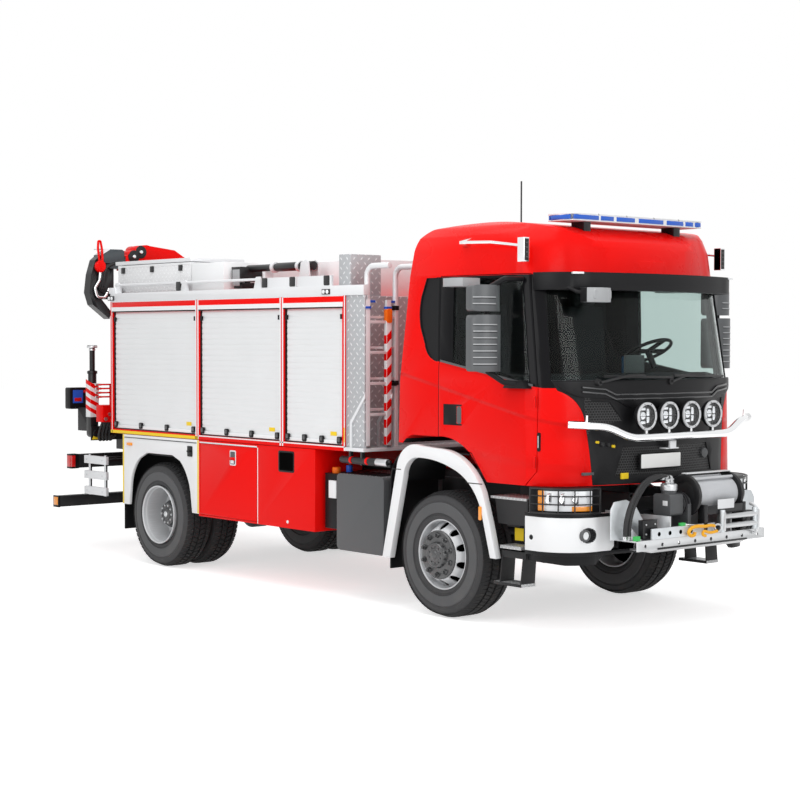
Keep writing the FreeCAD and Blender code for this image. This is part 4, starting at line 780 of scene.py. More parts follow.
def tyre(name, node, centre, half, side, blocks, share=0.80):
    """One tyre: its carcass with darker edges, and rows of tread blocks cut by slanting grooves."""
    x, y, z = centre
    carcass = Shape(name, node, "tyre").lathe(tyre_profile(half), centre, sides=96).done(angle=28, side=side)
    carcass.data.materials.append(material("tyre_edge"))
    for face in carcass.data.polygons:
        away = math.hypot(face.center.y - y, face.center.z - z)
        if not PALE_WALL[0] <= away <= PALE_WALL[1]:
            face.material_index = 1
    width = 2 * math.pi * TREAD_RADIUS / blocks * share
    treads = []
    for number, (inner, outer, skew) in enumerate(TREAD_ROWS):
        block = Shape(f"{name}_tread_{number + 1}", node, "tread_rubber")
        reach = [x + half * inner, x + half * outer]
        tops = [TREAD_TOP - (SHOULDER_DROP if abs(edge) > 0.9 else 0.0) for edge in (inner, outer)]
        start = width * 0.5 * (0.5 if number % 2 else -0.5)
        points = []
        for radii in ((TREAD_FOOT, TREAD_FOOT), tops):
            for end in (0, 1):
                shift = skew * (1 if end else -1)
                for across in (-width / 2, width / 2):
                    points.append((reach[end], y + across + shift + start, z + radii[end]))
        block.faces(points, BLOCK_RINGS)
        item = block.done(bevel=0.003, side=side, segments=1)
        treads.append(repeat(item, "tread_rubber", blocks, turn=(360 / blocks, 0, 0),
                             pivot=mirrored(centre, side)))
    return [carcass] + treads


def cap_nuts(name, node, centre, side, size=0.016):
    """A ring of capped nuts standing out of the hub flange, each on a collar."""
    x, y, z = centre
    for title, profile in (
            ("collars", [(-0.016, 0), (-0.016, size), (-0.010, size * 1.15), (0.004, size * 1.3)]),
            ("caps", [(-0.040, 0), (-0.039, size * 0.35), (-0.034, size * 0.62), (-0.022, size * 0.70),
                      (-0.014, size * 0.85), (-0.008, size * 0.85)])):
        nut = Shape(f"{name}_{title}", node, "hub_paint").lathe(profile, (x, y, z + NUT_CIRCLE), sides=14)
        repeat(nut.done(side=side), "hub_paint", NUTS, turn=(360 / NUTS, 0, 0), pivot=mirrored(centre, side))


def on_circle(centre, radius, degrees):
    """A point on an upright circle round an axis that runs across the truck."""
    angle = math.radians(degrees)
    return (centre[0], centre[1] + radius * math.cos(angle), centre[2] + radius * math.sin(angle))


def rim_lip(shape, centre, reach):
    """The bright rolled edge of a rim, and its barrel as far as a reach inwards."""
    return shape.lathe([(-0.160, 0.2985), (-0.166, 0.296), (-0.167, 0.289), (-0.160, 0.283), (-0.120, 0.278),
                        (reach, 0.274), (reach, 0.286), (-0.150, 0.2865), (-0.160, 0.2985)],
                       centre, sides=96)


def front_rim(side_name, side, centre):
    """The front rim and hub: a bulged disc with hand holes, a dark flange with nuts, and a stepped cap."""
    node = "rim_front_" + side_name
    barrel = Shape("front_rim_" + side_name, node, "rim_silver")
    barrel = rim_lip(barrel, centre, 0.160).done(angle=28, side=side)
    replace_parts(barrel, node)
    disc = Shape("front_disc_" + side_name, node, "rim_silver")
    disc.lathe([(-0.186, 0.150), (-0.194, 0.150), (-0.194, 0.206), (-0.186, 0.217), (-0.152, 0.236),
                (-0.112, 0.255), (-0.086, 0.277), (-0.076, 0.277), (-0.104, 0.249), (-0.144, 0.229),
                (-0.177, 0.211), (-0.186, 0.200), (-0.186, 0.150)], centre, sides=96)
    x, y, z = centre
    hole = Shape("hand_hole", node, "rim_silver")
    hole.pin(HOLE_RADIUS, (-0.230, -0.040), (x, y, z + HOLE_CIRCLE), sides=24)
    holes = repeat(hole.plain(side), "rim_silver", HAND_HOLES, turn=(360 / HAND_HOLES, 0, 0),
                   pivot=mirrored(centre, side))
    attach(soften(cut_away(disc.plain(side), holes), 0.0015), bodies[node])
    # painted shade: a near-black disc behind the hand holes
    back = Shape("front_backing_" + side_name, node, "hole_shade")
    back.pin(0.266, (-0.060, -0.050), centre, sides=48)
    back.done(side=side)
    hub = Shape("front_hub_" + side_name, node, "hub_paint")
    hub.lathe([(-0.186, 0.150), (-0.184, 0.207), (-0.204, 0.205), (-0.216, 0.193), (-0.217, 0.140),
               (-0.215, 0.112), (-0.240, 0.108), (-0.252, 0.099), (-0.2535, 0.086), (-0.247, 0.081),
               (-0.247, 0.060), (-0.2525, 0.056), (-0.2525, 0.037), (-0.262, 0.033), (-0.264, 0.022),
               (-0.264, 0)], centre, sides=56)
    for number in range(NUTS):
        place = on_circle((x - 0.2475, y, z), 0.070, 360 / NUTS * (number + 0.5))
        hub.stud((0.006, 0.006), (-0.006, 0.002), place, sides=8)
    hub.done(bevel=0.0015, side=side)
    cap_nuts("front_nuts_" + side_name, node, (x - 0.2165, y, z), side, size=0.020)


def rear_rim(side_name, side, centre):
    """What the deep rear rim shows: its bright lip, the bolted end of the hub and the nuts in the dish."""
    node = "rim_rear_" + side_name
    rim_lip(Shape("rear_rim_lip_" + side_name, node, "rim_silver"), centre, -0.100).done(angle=28, side=side)
    low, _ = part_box("rim_rear_right")
    x, y, z = low.x + 0.087, centre.y, centre.z
    hub = Shape("rear_hub_" + side_name, node, "hub_paint")
    hub.lathe([(-0.030, 0), (-0.030, 0.040), (-0.022, 0.046), (-0.020, 0.060), (-0.010, 0.064),
               (-0.008, 0.112), (0.012, 0.122), (0.037, 0.140), (0.186, 0.142)], (x, y, z), sides=48)
    for number in range(NUTS):
        place = on_circle((x - 0.008, y, z), 0.091, 360 / NUTS * number)
        hub.stud((0.011, 0.012), (-0.016, 0.002), place, sides=8, look="steel")
    hub.stud((0.026, 0.030), (-0.004, 0.002), (x - 0.030, y, z), sides=24, look="steel")
    hub.done(bevel=0.0015, side=side)
    cap_nuts("rear_nuts_" + side_name, node, (x + 0.187, y, z), side)


def wheels():
    """The front wheels and the rear twins: tyres with tread, rims, hubs and nuts."""
    for side_name, side in SIDES:
        low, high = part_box("tyre_front_right")
        centre = (low + high) / 2
        node = "tyre_front_" + side_name
        front = tyre("front_tyre_" + side_name, node, centre, (high.x - low.x) / 2, side, FRONT_BLOCKS,
                     FRONT_BLOCK_SHARE)
        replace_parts(front[0], node)
        front_rim(side_name, side, centre)
        low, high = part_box("tyre_rear_right")
        half = (high.x - low.x - TWIN_SPACING) / 2
        node = "tyre_rear_" + side_name
        where = Vector((low.x + half, (low.y + high.y) / 2, (low.z + high.z) / 2))
        outer = tyre("rear_outer_tyre_" + side_name, node, where, half, side, REAR_BLOCKS)
        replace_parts(outer[0], node)
        tyre("rear_inner_tyre_" + side_name, node, where + Vector((TWIN_SPACING, 0, 0)), half, side,
             REAR_BLOCKS)
        rear_rim(side_name, side, where + Vector((0.150 - half, 0, 0)))


# ------------------------------------------------------------------ lines along a curved face
def arc_points(start, middle, end, steps=12):
    """Points on the circle arc through three points in a plane."""
    (ax, ay), (bx, by), (cx, cy) = start, middle, end
    scale = 2 * (ax * (by - cy) + bx * (cy - ay) + cx * (ay - by))
    a, b, c = ax * ax + ay * ay, bx * bx + by * by, cx * cx + cy * cy
    ux = (a * (by - cy) + b * (cy - ay) + c * (ay - by)) / scale
    uy = (a * (cx - bx) + b * (ax - cx) + c * (bx - ax)) / scale
    radius = math.hypot(ax - ux, ay - uy)
    first, half, last = (math.atan2(y - uy, x - ux) for x, y in (start, middle, end))
    sweep = (last - first) % (2 * math.pi)
    if (half - first) % (2 * math.pi) > sweep:
        sweep -= 2 * math.pi
    angles = [first + sweep * step / steps for step in range(steps + 1)]
    return [(ux + radius * math.cos(angle), uy + radius * math.sin(angle)) for angle in angles]


def along_path(path, start, end, steps=10):
    """Evenly spaced points on part of a plane path, between two shares of its length."""
    runs = [math.dist(a, b) for a, b in zip(path, path[1:])]
    total = sum(runs)
    out = []
    for step in range(steps + 1):
        reach = total * (start + (end - start) * step / steps)
        for (a, b), run in zip(zip(path, path[1:]), runs):
            if reach <= run or b is path[-1]:
                share = min(reach / run, 1)
                out.append((a[0] + (b[0] - a[0]) * share, a[1] + (b[1] - a[1]) * share))
                break
            reach -= run
    return out


def shifted(path, away):
    """A plane path moved sideways, to its left when that is positive."""
    out = []
    for number, (x, y) in enumerate(path):
        before, after = path[max(number - 1, 0)], path[min(number + 1, len(path) - 1)]
        length = math.dist(before, after)
        out.append((x - (after[1] - before[1]) / length * away, y + (after[0] - before[0]) / length * away))
    return out


def band(shape, path, z, thick, look=None, sunk=0.002):
    """A strip that follows a path seen from above, between two heights, standing out to the path's right."""
    inner, outer = shifted(path, sunk), shifted(path, -thick)
    return shape.prism(outer + inner[::-1], z[0], z[1], "Z", look)


BUMPER_HALF, BUMPER_BEND = 1.225, 0.840


def bumper_line(inset):
    """The bumper's outer line on the right, from its side round the corner to the middle of the front."""
    half = BUMPER_HALF - inset
    bend = (-BUMPER_BEND, aft(-1.440 + inset))
    corner = arc_points((-half, aft(-1.080)), (-half * 0.93, aft(-1.330 + inset)), bend)
    front = arc_points(bend, (0, aft(-1.500 + inset)), (-bend[0], bend[1]), 24)
    return [(-half, aft(-0.985))] + corner + front[1:13]


# ------------------------------------------------------------------ load body
# lengths are measured back from the front axle
BAYS = ((1.300, 2.167), (2.227, 3.559), (3.619, 5.175))
JOINT_LINES = ((1.260, 1.272), (2.170, 2.188), (2.206, 2.224), (3.562, 3.580), (3.598, 3.616),
               (5.180, 5.190))
BODY_SIDE = -1.250
OPENING = (1.385, 2.620)
SLAT, SLATS = 0.0532, 22
SHUTTER_FOOT, SHUTTER_FACE, TRIM_BACK = 1.4345, -1.2253, -1.222


def shutters():
    """The roller shutters: slats, side channels, pull bars with their knobs, stops, and a label on each."""
    for side_name, side in SIDES:
        for number, (start, end) in enumerate(BAYS):
            name = f"{number + 1}_{side_name}"
            slat = Shape("slats_" + name, "shutters", "shutter")
            foot, face = SHUTTER_FOOT, SHUTTER_FACE
            slat.prism([(face + 0.002, foot), (face - 0.0012, foot + 0.001),
                        (face - 0.0032, foot + SLAT * 0.3), (face - 0.0036, foot + SLAT * 0.5),
                        (face - 0.0032, foot + SLAT * 0.7), (face - 0.0012, foot + SLAT - 0.0042),
                        (face + 0.002, foot + SLAT - 0.0032)], aft(start + 0.014), aft(end - 0.032), "Y")
            repeat(slat.done(side=side), "shutter", SLATS, step=(0, 0, SLAT))
            trim = Shape("shutter_trim_" + name, "shutters", "black_plastic")
            z = (OPENING[0] + 0.003, OPENING[1] - 0.003)
            trim.box((-1.232, TRIM_BACK), span(end - 0.030, end - 0.003), z)
            trim.box((-1.229, TRIM_BACK), span(start + 0.003, start + 0.013), z)
            trim.box((-1.234, TRIM_BACK), span(start + 0.013, end - 0.030), (OPENING[0] + 0.003, 1.398))
            trim.box((-1.236, TRIM_BACK), span(start + 0.014, end - 0.032), (1.399, 1.431), "white_paint")
            for y in (start + 0.020, end - 0.030):
                trim.box((-1.243, TRIM_BACK), span(y - 0.018, y + 0.018), (2.520, 2.565))
            trim.box((-1.2300, -1.2285), span(start + 0.10, start + 0.19), (1.470, 1.508), "yellow_paint")
            for knob in range(4):
                y = aft(start + 0.050 + (end - start - 0.100) * knob / 3)
                trim.prism(rounded((y - 0.030, y + 0.030), (1.402, 1.466), 0.014), -1.246, -1.230)
                trim.prism(rounded((y - 0.017, y + 0.017), (1.420, 1.458), 0.008), -1.2485, -1.244,
                           look="hub_paint")
            trim.done(bevel=0.0015, side=side)


def body_strips(side_name, side):
    """The white and yellow strips and the joint lines of the body side, and a black strip of painted shadow
    under each white drip strip.
    """
    trim = Shape("body_strips_" + side_name, "body_shell", "white_paint")
    sunk = BODY_SIDE + 0.0015
    flat, proud = (BODY_SIDE - 0.0012, sunk), (BODY_SIDE - 0.006, sunk)
    for start, end in BAYS:
        y = span(start - 0.012, end + 0.012)
        trim.box(proud, y, (2.630, 2.672))
        # painted shadow: a black strip under the white drip strip, at the top edge of the opening
        trim.box((BODY_SIDE - 0.0005, sunk), y, (2.618, 2.630), "black_plastic")
        trim.box(flat, y, (2.7245, 2.7295))
    for start, end in JOINT_LINES:
        trim.box(flat, span(start, end), (1.345, 2.7295))
    trim.box(flat, span(1.260, 3.570), (1.3725, 1.3835))
    trim.box(flat, span(3.570, 5.213), (1.3420, 1.3730), "yellow_paint")
    trim.box((BODY_SIDE - 0.0025, sunk), span(1.2605, 1.2715), (1.42, 1.55), "yellow_paint")
    trim.done(side=side)


def arch_details(side_name, side):
    """The rear arch's yellow strips, ledge, amber lamp and catch."""
    arch = Shape("arch_strips_" + side_name, "rear_arches", "yellow_paint")
    face = right_face("rear_arches")
    for start, end in ((3.563, 3.586), (4.952, 4.975)):
        arch.box((face - 0.0012, face + 0.002), span(start, end), (0.605, 1.333))
    arch.box((face - 0.005, face + 0.002), span(3.600, 4.940), (1.300, 1.309), "grey_paint")
    arch.box((face - 0.016, face + 0.002), span(4.790, 4.880), (1.222, 1.252), "amber_lens")
    arch.prism(rounded(span(3.668, 3.757), (1.163, 1.269), 0.012), face - 0.007, face - 0.003,
               look="black_plastic")
    arch.box((face - 0.024, face - 0.006), span(3.690, 3.742), (1.208, 1.224), "black_plastic")
    arch.done(bevel=0.0012, side=side)


def front_arch_details(side_name, side):
    """The front arch's joint lines and amber marker."""
    front = Shape("front_arch_lines_" + side_name, "front_arches", "black_plastic")
    face = right_face("front_arches")
    front.box((face - 0.0010, face + 0.003), span(0.493, 0.607), (1.219, 1.227))
    front.box((face - 0.0010, face + 0.003), span(-0.515, -0.324), (1.157, 1.165))
    front.prism(rounded(span(-0.512, -0.478), (0.866, 0.978), 0.010), face - 0.006, face + 0.002,
                look="amber_lens")
    front.done(bevel=0.001, side=side)


def panel_details(side_name, side):
    """The lower panel's joint line, ledge and knob, and a black frame round a near-black sheet that is
    painted shade for a dark opening.
    """
    panel = Shape("panel_strips_" + side_name, "lower_panels", "white_paint")
    face = right_face("lower_panels")
    panel.box((face - 0.0012, face + 0.002), span(2.566, 2.576), (0.585, 1.308))
    panel.box((face - 0.006, face + 0.002), span(2.580, 3.540), (1.309, 1.322), "aluminium")
    panel.stud((0.014, 0.016), (-0.006, 0.002), (face, aft(2.10), 0.640), sides=20)
    panel.prism(rounded(span(2.000, 2.245), (1.100, 1.300), 0.020), face - 0.0015, face + 0.001,
                look="black_plastic")
    # painted shade: a near-black sheet inside the frame, standing for a dark opening
    panel.prism(rounded(span(2.016, 2.229), (1.116, 1.284), 0.016), face - 0.0020, face - 0.001, look="hole_shade")
    panel.done(bevel=0.001, side=side)


def flap_latch(side_name, side):
    """The recessed latch of a locker flap."""
    face = right_face("lower_panels")
    latch = Shape("flap_latch_" + side_name, "locker_flap_" + side_name, "aluminium")
    latch.prism(rounded(span(2.925, 3.025), (1.115, 1.262), 0.014), face - 0.004, face + 0.002)
    latch.prism(rounded(span(2.937, 3.013), (1.127, 1.250), 0.010), face - 0.006, face - 0.003,
                look="grey_paint")
    latch.box((face - 0.012, face - 0.003), span(2.950, 3.000), (1.135, 1.172))
    latch.done(bevel=0.0012, side=side)


def body_trims():
    """The small parts of both sides of the body."""
    for side_name, side in SIDES:
        for make in (body_strips, arch_details, front_arch_details, panel_details, flap_latch):
            make(side_name, side)


# ------------------------------------------------------------------ cab
def door_details():
    """The strip below the window and the grip of each door, and the marker lamp on the cab's corner."""
    for side_name, side in SIDES:
        seal = Shape("door_seal_" + side_name, "door_" + side_name, "grey_plastic")
        front, rear = (aft(-1.040), 1.962), (aft(0.050), 2.148)
        face = -1.2045
        seal.prism([(front[0], front[1] + 0.004), (rear[0], rear[1] + 0.004), (rear[0], rear[1] + 0.022),
                    (front[0], front[1] + 0.022)], face, face + 0.006)
        seal.prism(rounded(span(-0.222, -0.168), (1.640, 1.785), 0.020), -1.2125, -1.2095)
        seal.done(bevel=0.0015, side=side)
        mark = Shape("side_marker_" + side_name, "cab_shell", "black_plastic")
        mark.prism(rounded(span(-1.078, -1.050), (1.452, 1.602), 0.012), -1.161, -1.140)
        mark.prism(rounded(span(-1.0665, -1.0595), (1.478, 1.576), 0.003), -1.1625, -1.159,
                   look="white_lens")
        mark.done(bevel=0.002, side=side)


CAB_FRONT, CORNER_X, CORNER_DROP, FRONT_CURVE = aft(-1.440), 0.86, 0.130, 2.2


def front_y(x):
    """The Y of the cab's front at a distance from its middle, near the foot of the windscreen."""
    return CAB_FRONT + CORNER_DROP * (abs(x) / CORNER_X) ** FRONT_CURVE


def front_details():
    """The blank plate, sensors, labels and step of the dark front panel, and the two ledges above it."""
    part = Shape("front_parts", "front_panel", "black_plastic")
    part.prism(rounded((-0.393, 0.110), (1.290, 1.420), 0.012), aft(-1.462), aft(-1.440), "Y")
    part.prism(rounded((-0.384, 0.101), (1.303, 1.416), 0.008), aft(-1.4645), aft(-1.461), "Y",
               look="plate_white")
    for x, z, radius, look in ((-0.765, 1.523, 0.010, "yellow_paint"), (-0.722, 1.506, 0.018, "rubber"),
                               (-0.668, 1.500, 0.014, "rubber"), (-0.620, 1.487, 0.012, "yellow_paint"),
                               (0.477, 1.394, 0.040, "grey_plastic")):
        part.stud((radius, radius), (0, 0.030), (x, front_y(x) - 0.008, z), "Y", 24, look)
    face = front_y(-0.51)
    part.box((-0.552, -0.470), (face - 0.006, face + 0.01), (1.222, 1.270), "yellow_paint")
    face = front_y(-0.85)
    part.box((-0.905, -0.790), (face - 0.010, face + 0.02), (1.262, 1.284), "grey_plastic")
    for drop in (0.0, 0.036):
        ledge = [(-0.90, 1.962), (-0.80, 1.953), (-0.70, 1.945), (-0.60, 1.900), (-0.40, 1.900),
                 (-0.20, 1.900), (0, 1.900)]
        ledge += [(-x, z) for x, z in ledge[-2::-1]]
        part.tube([(x, front_y(x) + 0.002, z - drop) for x, z in ledge], 0.009, 8, "hub_paint")
    part.box((-0.125, 0.035), span(-1.500, -1.430), (1.452, 1.462), "aluminium")
    part.box((-0.095, -0.020), span(-1.520, -1.500), (1.455, 1.520), "aluminium")
    part.done(bevel=0.0015)


def wipers():
    """The two wiper arms and blades, each with its pivot."""
    for number, (pivot, tip) in enumerate(((-0.760, 0.020), (-0.010, 0.800))):
        wiper = Shape(f"wiper_{number + 1}", "cab_shell", "rubber")
        y = front_y(pivot) - 0.012
        wiper.stud((0.026, 0.030), (0, 0.04), (pivot, y - 0.006, 2.000), "Y", 20)
        middle = pivot * 0.45 + tip * 0.55
        wiper.tube([(pivot, y - 0.012, 2.000), (pivot * 0.7 + tip * 0.3, front_y(middle) - 0.022, 2.050),
                    (middle, front_y(middle) - 0.020, 2.052)], 0.011, 8, curved=5)
        blade = []
        for share in (0.05, 0.3, 0.55, 0.8, 1.0):
            x = pivot + (tip - pivot) * share
            blade.append((x, front_y(x) - 0.006, 2.048 - 0.016 * share))
        wiper.tube(blade, 0.012, 6, curved=4)
        wiper.done()


LAMP_Z, GUARD_Z = (0.990, 1.150), (0.975, 1.045, 1.110, 1.168)
THIN_WIRE, THICK_WIRE = 0.0055, 0.008


def head_lamps():
    """The corner headlamps in dark housings, behind their wire guards."""
    for side_name, side in SIDES:
        lamp = Shape("headlamp_" + side_name, "front_lamps", "black_plastic")
        line = bumper_line(0.022)
        band(lamp, along_path(line, 0.02, 0.44, 30), (0.968, 1.174), 0.006, sunk=0.085)
        band(lamp, along_path(line, 0.085, 0.385, 24), LAMP_Z, 0.009, "white_lens")
        band(lamp, along_path(line, 0.085, 0.125, 6), LAMP_Z, 0.0105, "amber_lens")
        band(lamp, along_path(line, 0.27, 0.385, 8), (LAMP_Z[0], 1.030), 0.0105, "amber_lens")
        for share in (0.16, 0.23, 0.30):
            x, y = along_path(line, share, share + 0.01, 1)[0]
            lamp.stud((0.052, 0.052), (0, 0.02), (x, y - 0.012, 1.085), "Y", 24, "chrome")
        guard = Shape("lamp_guard_" + side_name, "front_lamps", "black_paint")
        out = shifted(along_path(line, 0.045, 0.425, 24), -0.034)
        for z in GUARD_Z:
            guard.tube([(x, y, z) for x, y in out], THIN_WIRE if z in GUARD_Z[1:3] else THICK_WIRE, 8)
        for number in (0, 5, 10, 15, 20, 24):
            x, y = out[number]
            wire = THIN_WIRE if 0 < number < 24 else THICK_WIRE
            guard.tube([(x, y, GUARD_Z[0]), (x, y, GUARD_Z[-1])], wire, 8)
        lamp.done(bevel=0.003, side=side)
        guard.done(side=side)


ROUND_LAMPS_X, ROUND_LAMPS_Y, ROUND_LAMPS_Z = (-0.415, -0.138, 0.138, 0.415), aft(-1.512), 1.728
# the reflectors of a round lamp: the centre's offset across and up, and half the width and height
REFLECTORS = ((0.030, 0.030, 0.018, 0.030), (0.030, -0.030, 0.018, 0.024),
              (-0.028, 0.058, 0.026, 0.010), (-0.030, -0.050, 0.028, 0.012))


def round_lamps():
    """The four round lamps on the bar: shell, bright rim with its screws, reflectors and lens."""
    y, z = ROUND_LAMPS_Y, ROUND_LAMPS_Z
    for number, x in enumerate(ROUND_LAMPS_X):
        lamp = Shape(f"round_lamp_{number + 1}", "front_lamps", "black_paint")
        lamp.lathe([(0.050, 0), (0.048, 0.045), (0.030, 0.088), (0.0, 0.110), (-0.036, 0.110),
                    (-0.040, 0.106), (-0.040, 0.092), (-0.012, 0.086), (-0.012, 0)], (x, y, z), "Y", 48)
        lamp.lathe([(-0.030, 0.112), (-0.043, 0.112), (-0.0455, 0.108), (-0.0455, 0.096), (-0.040, 0.092),
                    (-0.030, 0.092), (-0.030, 0.112)], (x, y, z), "Y", 48, "rim_silver")
        for screw in range(8):
            angle = math.radians(22.5 + 45 * screw)
            place = (x + 0.102 * math.cos(angle), y - 0.0475, z + 0.102 * math.sin(angle))
            lamp.stud((0.0045, 0.0045), (0, 0.006), place, "Y", 10, "black_paint")
        lamp.stud((0.030, 0.034), (-0.020, -0.012), (x - 0.030, y, z + 0.005), "Y", 24, "chrome")
        for across, up, wide, high in REFLECTORS:
            lamp.box((x + across - wide, x + across + wide), (y - 0.020, y - 0.012),
                     (z + up - high, z + up + high), "chrome")
        lamp.box((x - 0.090, x + 0.090), (y - 0.022, y - 0.014), (z - 0.002, z + 0.002), "black_paint")
        item = lamp.done(bevel=0.001)
        glass = Shape(f"round_lens_{number + 1}", "front_lamps", "lamp_glass")
        glass.lathe([(-0.041, 0), (-0.040, 0.050), (-0.037, 0.092), (-0.034, 0.092), (-0.037, 0.050),
                     (-0.038, 0)], (x, y, z), "Y", 48)
        glass.done()
        if number == 0:
            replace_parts(item, "front_lamps")


FOG_Z, FOG_HALF, FOG_ROWS = 0.800, 0.052, 10


def bumper_details():
    """The bumper's dark lines, round fog lamp in its dark pill and plug, and the steps' yellow label."""
    for side_name, side in SIDES:
        part = Shape("bumper_parts_" + side_name, "front_bumper", "black_plastic")
        line = bumper_line(0)
        for z in ((0.637, 0.668), (0.940, 0.968)):
            band(part, line, z, 0.0022, sunk=0.010)
        length = sum(math.dist(a, b) for a, b in zip(line, line[1:]))
        for row in range(FOG_ROWS):
            z = [FOG_Z + FOG_HALF * (2 * (row + step) / FOG_ROWS - 1) for step in (0, 1)]
            inset = (FOG_HALF - math.sqrt(FOG_HALF ** 2 - ((z[0] + z[1]) / 2 - FOG_Z) ** 2)) / length
            band(part, along_path(line, 0.319 + inset, 0.420 - inset, 8), z, 0.0015, sunk=0.004)
        x, y = along_path(line, 0.350, 0.360, 1)[0]
        part.lathe([(-0.004, 0), (-0.004, 0.034), (-0.010, 0.038), (-0.010, 0.046), (0.02, 0.050)],
                   (x, y - 0.004, FOG_Z), "Y", 32, "grey_plastic")
        part.lathe([(-0.010, 0), (-0.006, 0.030), (0.0, 0.034)], (x, y - 0.004, FOG_Z), "Y", 32,
                   "white_lens")
        x, y = along_path(line, 0.045, 0.055, 1)[0]
        part.stud((0.020, 0.022), (-0.002, 0.004), (x, y, 0.775), "X", 24)
        part.done(bevel=0.001, side=side)
        label = Shape("step_label_" + side_name, "cab_steps", "yellow_paint")
        label.box((-1.0500, -1.0485), span(-0.795, -0.695), (0.706, 0.807))
        label.box((-1.0485, -1.0400), span(-0.800, -0.692), (0.679, 0.812), "black_plastic")
        label.done(side=side)


# ------------------------------------------------------------------ roof and mirrors
BAR_HALF, BAR_LENS_Z = 0.800, (3.311, 3.347)
BAR_LENSES = ((-0.790, -0.500), (-0.475, -0.320), (-0.285, -0.060), (-0.010, 0.300), (0.345, 0.560),
              (0.590, 0.690), (0.715, 0.790))


def roof_details():
    """The light bar's blue lenses, strips and joints, the side lamps' faces and the visor's marker lamps."""
    bar = Shape("light_bar_lenses", "roof_lights", "blue_lens")
    y0, y1 = span(-1.090, -0.810)
    for x in BAR_LENSES:
        bar.box(x, (y0 - 0.004, y0 + 0.010), BAR_LENS_Z)
        bar.box(x, (y1 - 0.010, y1 + 0.004), BAR_LENS_Z)
    for x in (-BAR_HALF, BAR_HALF):
        bar.box((x - 0.004, x + 0.004), (y0 + 0.030, y1 - 0.030), BAR_LENS_Z)
    for z in ((3.300, 3.308), (3.350, 3.362)):
        bar.box((-BAR_HALF, BAR_HALF), (y0 - 0.002, y1 + 0.002), z, "aluminium")
    for x in (-0.5, -0.16, 0.18, 0.5):
        bar.box((x - 0.004, x + 0.004), (y0 - 0.003, y1 + 0.003), (3.350, 3.3635), "grey_plastic")
    bar.done(bevel=0.002)
    for side_name, side in SIDES:
        lamp = Shape("side_lamp_face_" + side_name, "roof_lights", "chrome")
        low, high = Vector((-1.252, aft(-0.985), 2.956)), Vector((-1.196, aft(-0.915), 3.150))
        lamp.box((low.x - 0.003, high.x), (low.y - 0.004, high.y), (low.z, high.z))
        lamp.box((low.x + 0.005, high.x - 0.005), (low.y - 0.007, low.y), (low.z + 0.010, high.z - 0.010),
                 "black_paint")
        for row in range(4):
            z = low.z + 0.038 + row * 0.038
            lamp.box((low.x + 0.016, high.x - 0.016), (low.y - 0.009, low.y), (z - 0.005, z + 0.005),
                     "grey_plastic")
        lamp.done(bevel=0.003, side=side)
        mark = Shape("visor_marker_" + side_name, "sun_visor", "white_lens")
        mark.box((-0.995, -0.900), span(-1.302, -1.260), (2.858, 2.876))
        mark.turn(-24, "Z", (-0.947, aft(-1.280), 2.867))
        mark.done(bevel=0.004, side=side)


MIRROR_X, MIRROR_FACE, MIRROR_RIB_PITCH = (-1.600, -1.300), aft(-0.690), 0.052
# name, height limits and depth of the two big mirrors on each side
BIG_MIRRORS = (("main", (2.085, 2.535), 0.165), ("upper", (2.562, 2.772), 0.150))


def mirror_details():
    """Ribbed backs and the glass of the door mirrors, and the lids of the kerb and front mirrors. The ribs'
    pale grey is a painted reflection with a black strip of painted shadow under each, and the lids' pale
    grey a painted highlight.
    """
    for side_name, side in SIDES:
        node = "mirrors_" + side_name
        (x0, x1), flat = MIRROR_X, MIRROR_FACE
        for title, z, depth in BIG_MIRRORS:
            back = Shape(f"mirror_{title}_ribs_{side_name}", node, "pale_grey_and_highlight")
            edge = flat - depth * 0.45
            curve = arc_points((x0, edge), ((x0 + x1) / 2, flat - depth), (x1, edge), 20)
            line = along_path(curve, 0.02, 0.60, 12)
            for row in range(int((z[1] - z[0] - 0.08) / MIRROR_RIB_PITCH)):
                level = z[0] + 0.055 + row * MIRROR_RIB_PITCH
                # painted reflection: the ribs are pale grey against the dark housing
                band(back, line, (level, level + 0.010), 0.003)
                # painted shadow: a black strip under each rib
                band(back, line, (level - 0.006, level), 0.0015, "black_plastic")
            back.done(bevel=0.001, side=side)
            glass = Shape(f"mirror_{title}_glass_{side_name}", node, "mirror_glass")
            glass.prism(rounded((x0 + 0.016, x1 - 0.016), (z[0] + 0.016, z[1] - 0.016), 0.022), flat - 0.002,
                        flat + 0.002, "Y")
            glass.done(side=side)
        # painted highlight: the kerb mirror's lid in pale grey
        lid = Shape("kerb_mirror_lid_" + side_name, node, "pale_grey_and_highlight")
        lid.prism([(-1.225, aft(-0.440)), (-1.400, aft(-0.425)), (-1.425, aft(-0.330)),
                   (-1.385, aft(-0.225)), (-1.260, aft(-0.205))], 2.834, 2.8405, "Z")
        lid.done(bevel=0.003, side=side)
    # painted highlight: the front mirror's lid in pale grey
    lid = Shape("front_mirror_lid", "sun_visor", "pale_grey_and_highlight")
    lid.prism(rounded((-0.965, -0.765), (2.655, 2.735), 0.020), aft(-1.478), aft(-1.400), "Y")
    lid.done(bevel=0.008)


# ------------------------------------------------------------------ winch and its bed
DRUM_Y, DRUM_Z = aft(-1.640), 1.080
BED_TOP = 0.772
ROPE_COIL, ROPE_HALF, ROPE_PITCH, ROPE_TURNS = 0.1215, 0.0075, 0.0146, 35
BED_FRONT = aft(-1.835)
BED_BRACKET = ((0.900, BED_TOP), (0.900, 1.010), (0.860, 1.070), (0.720, 1.080), (0.620, 1.040),
               (0.500, 0.880), (0.450, 0.800), (0.450, BED_TOP))


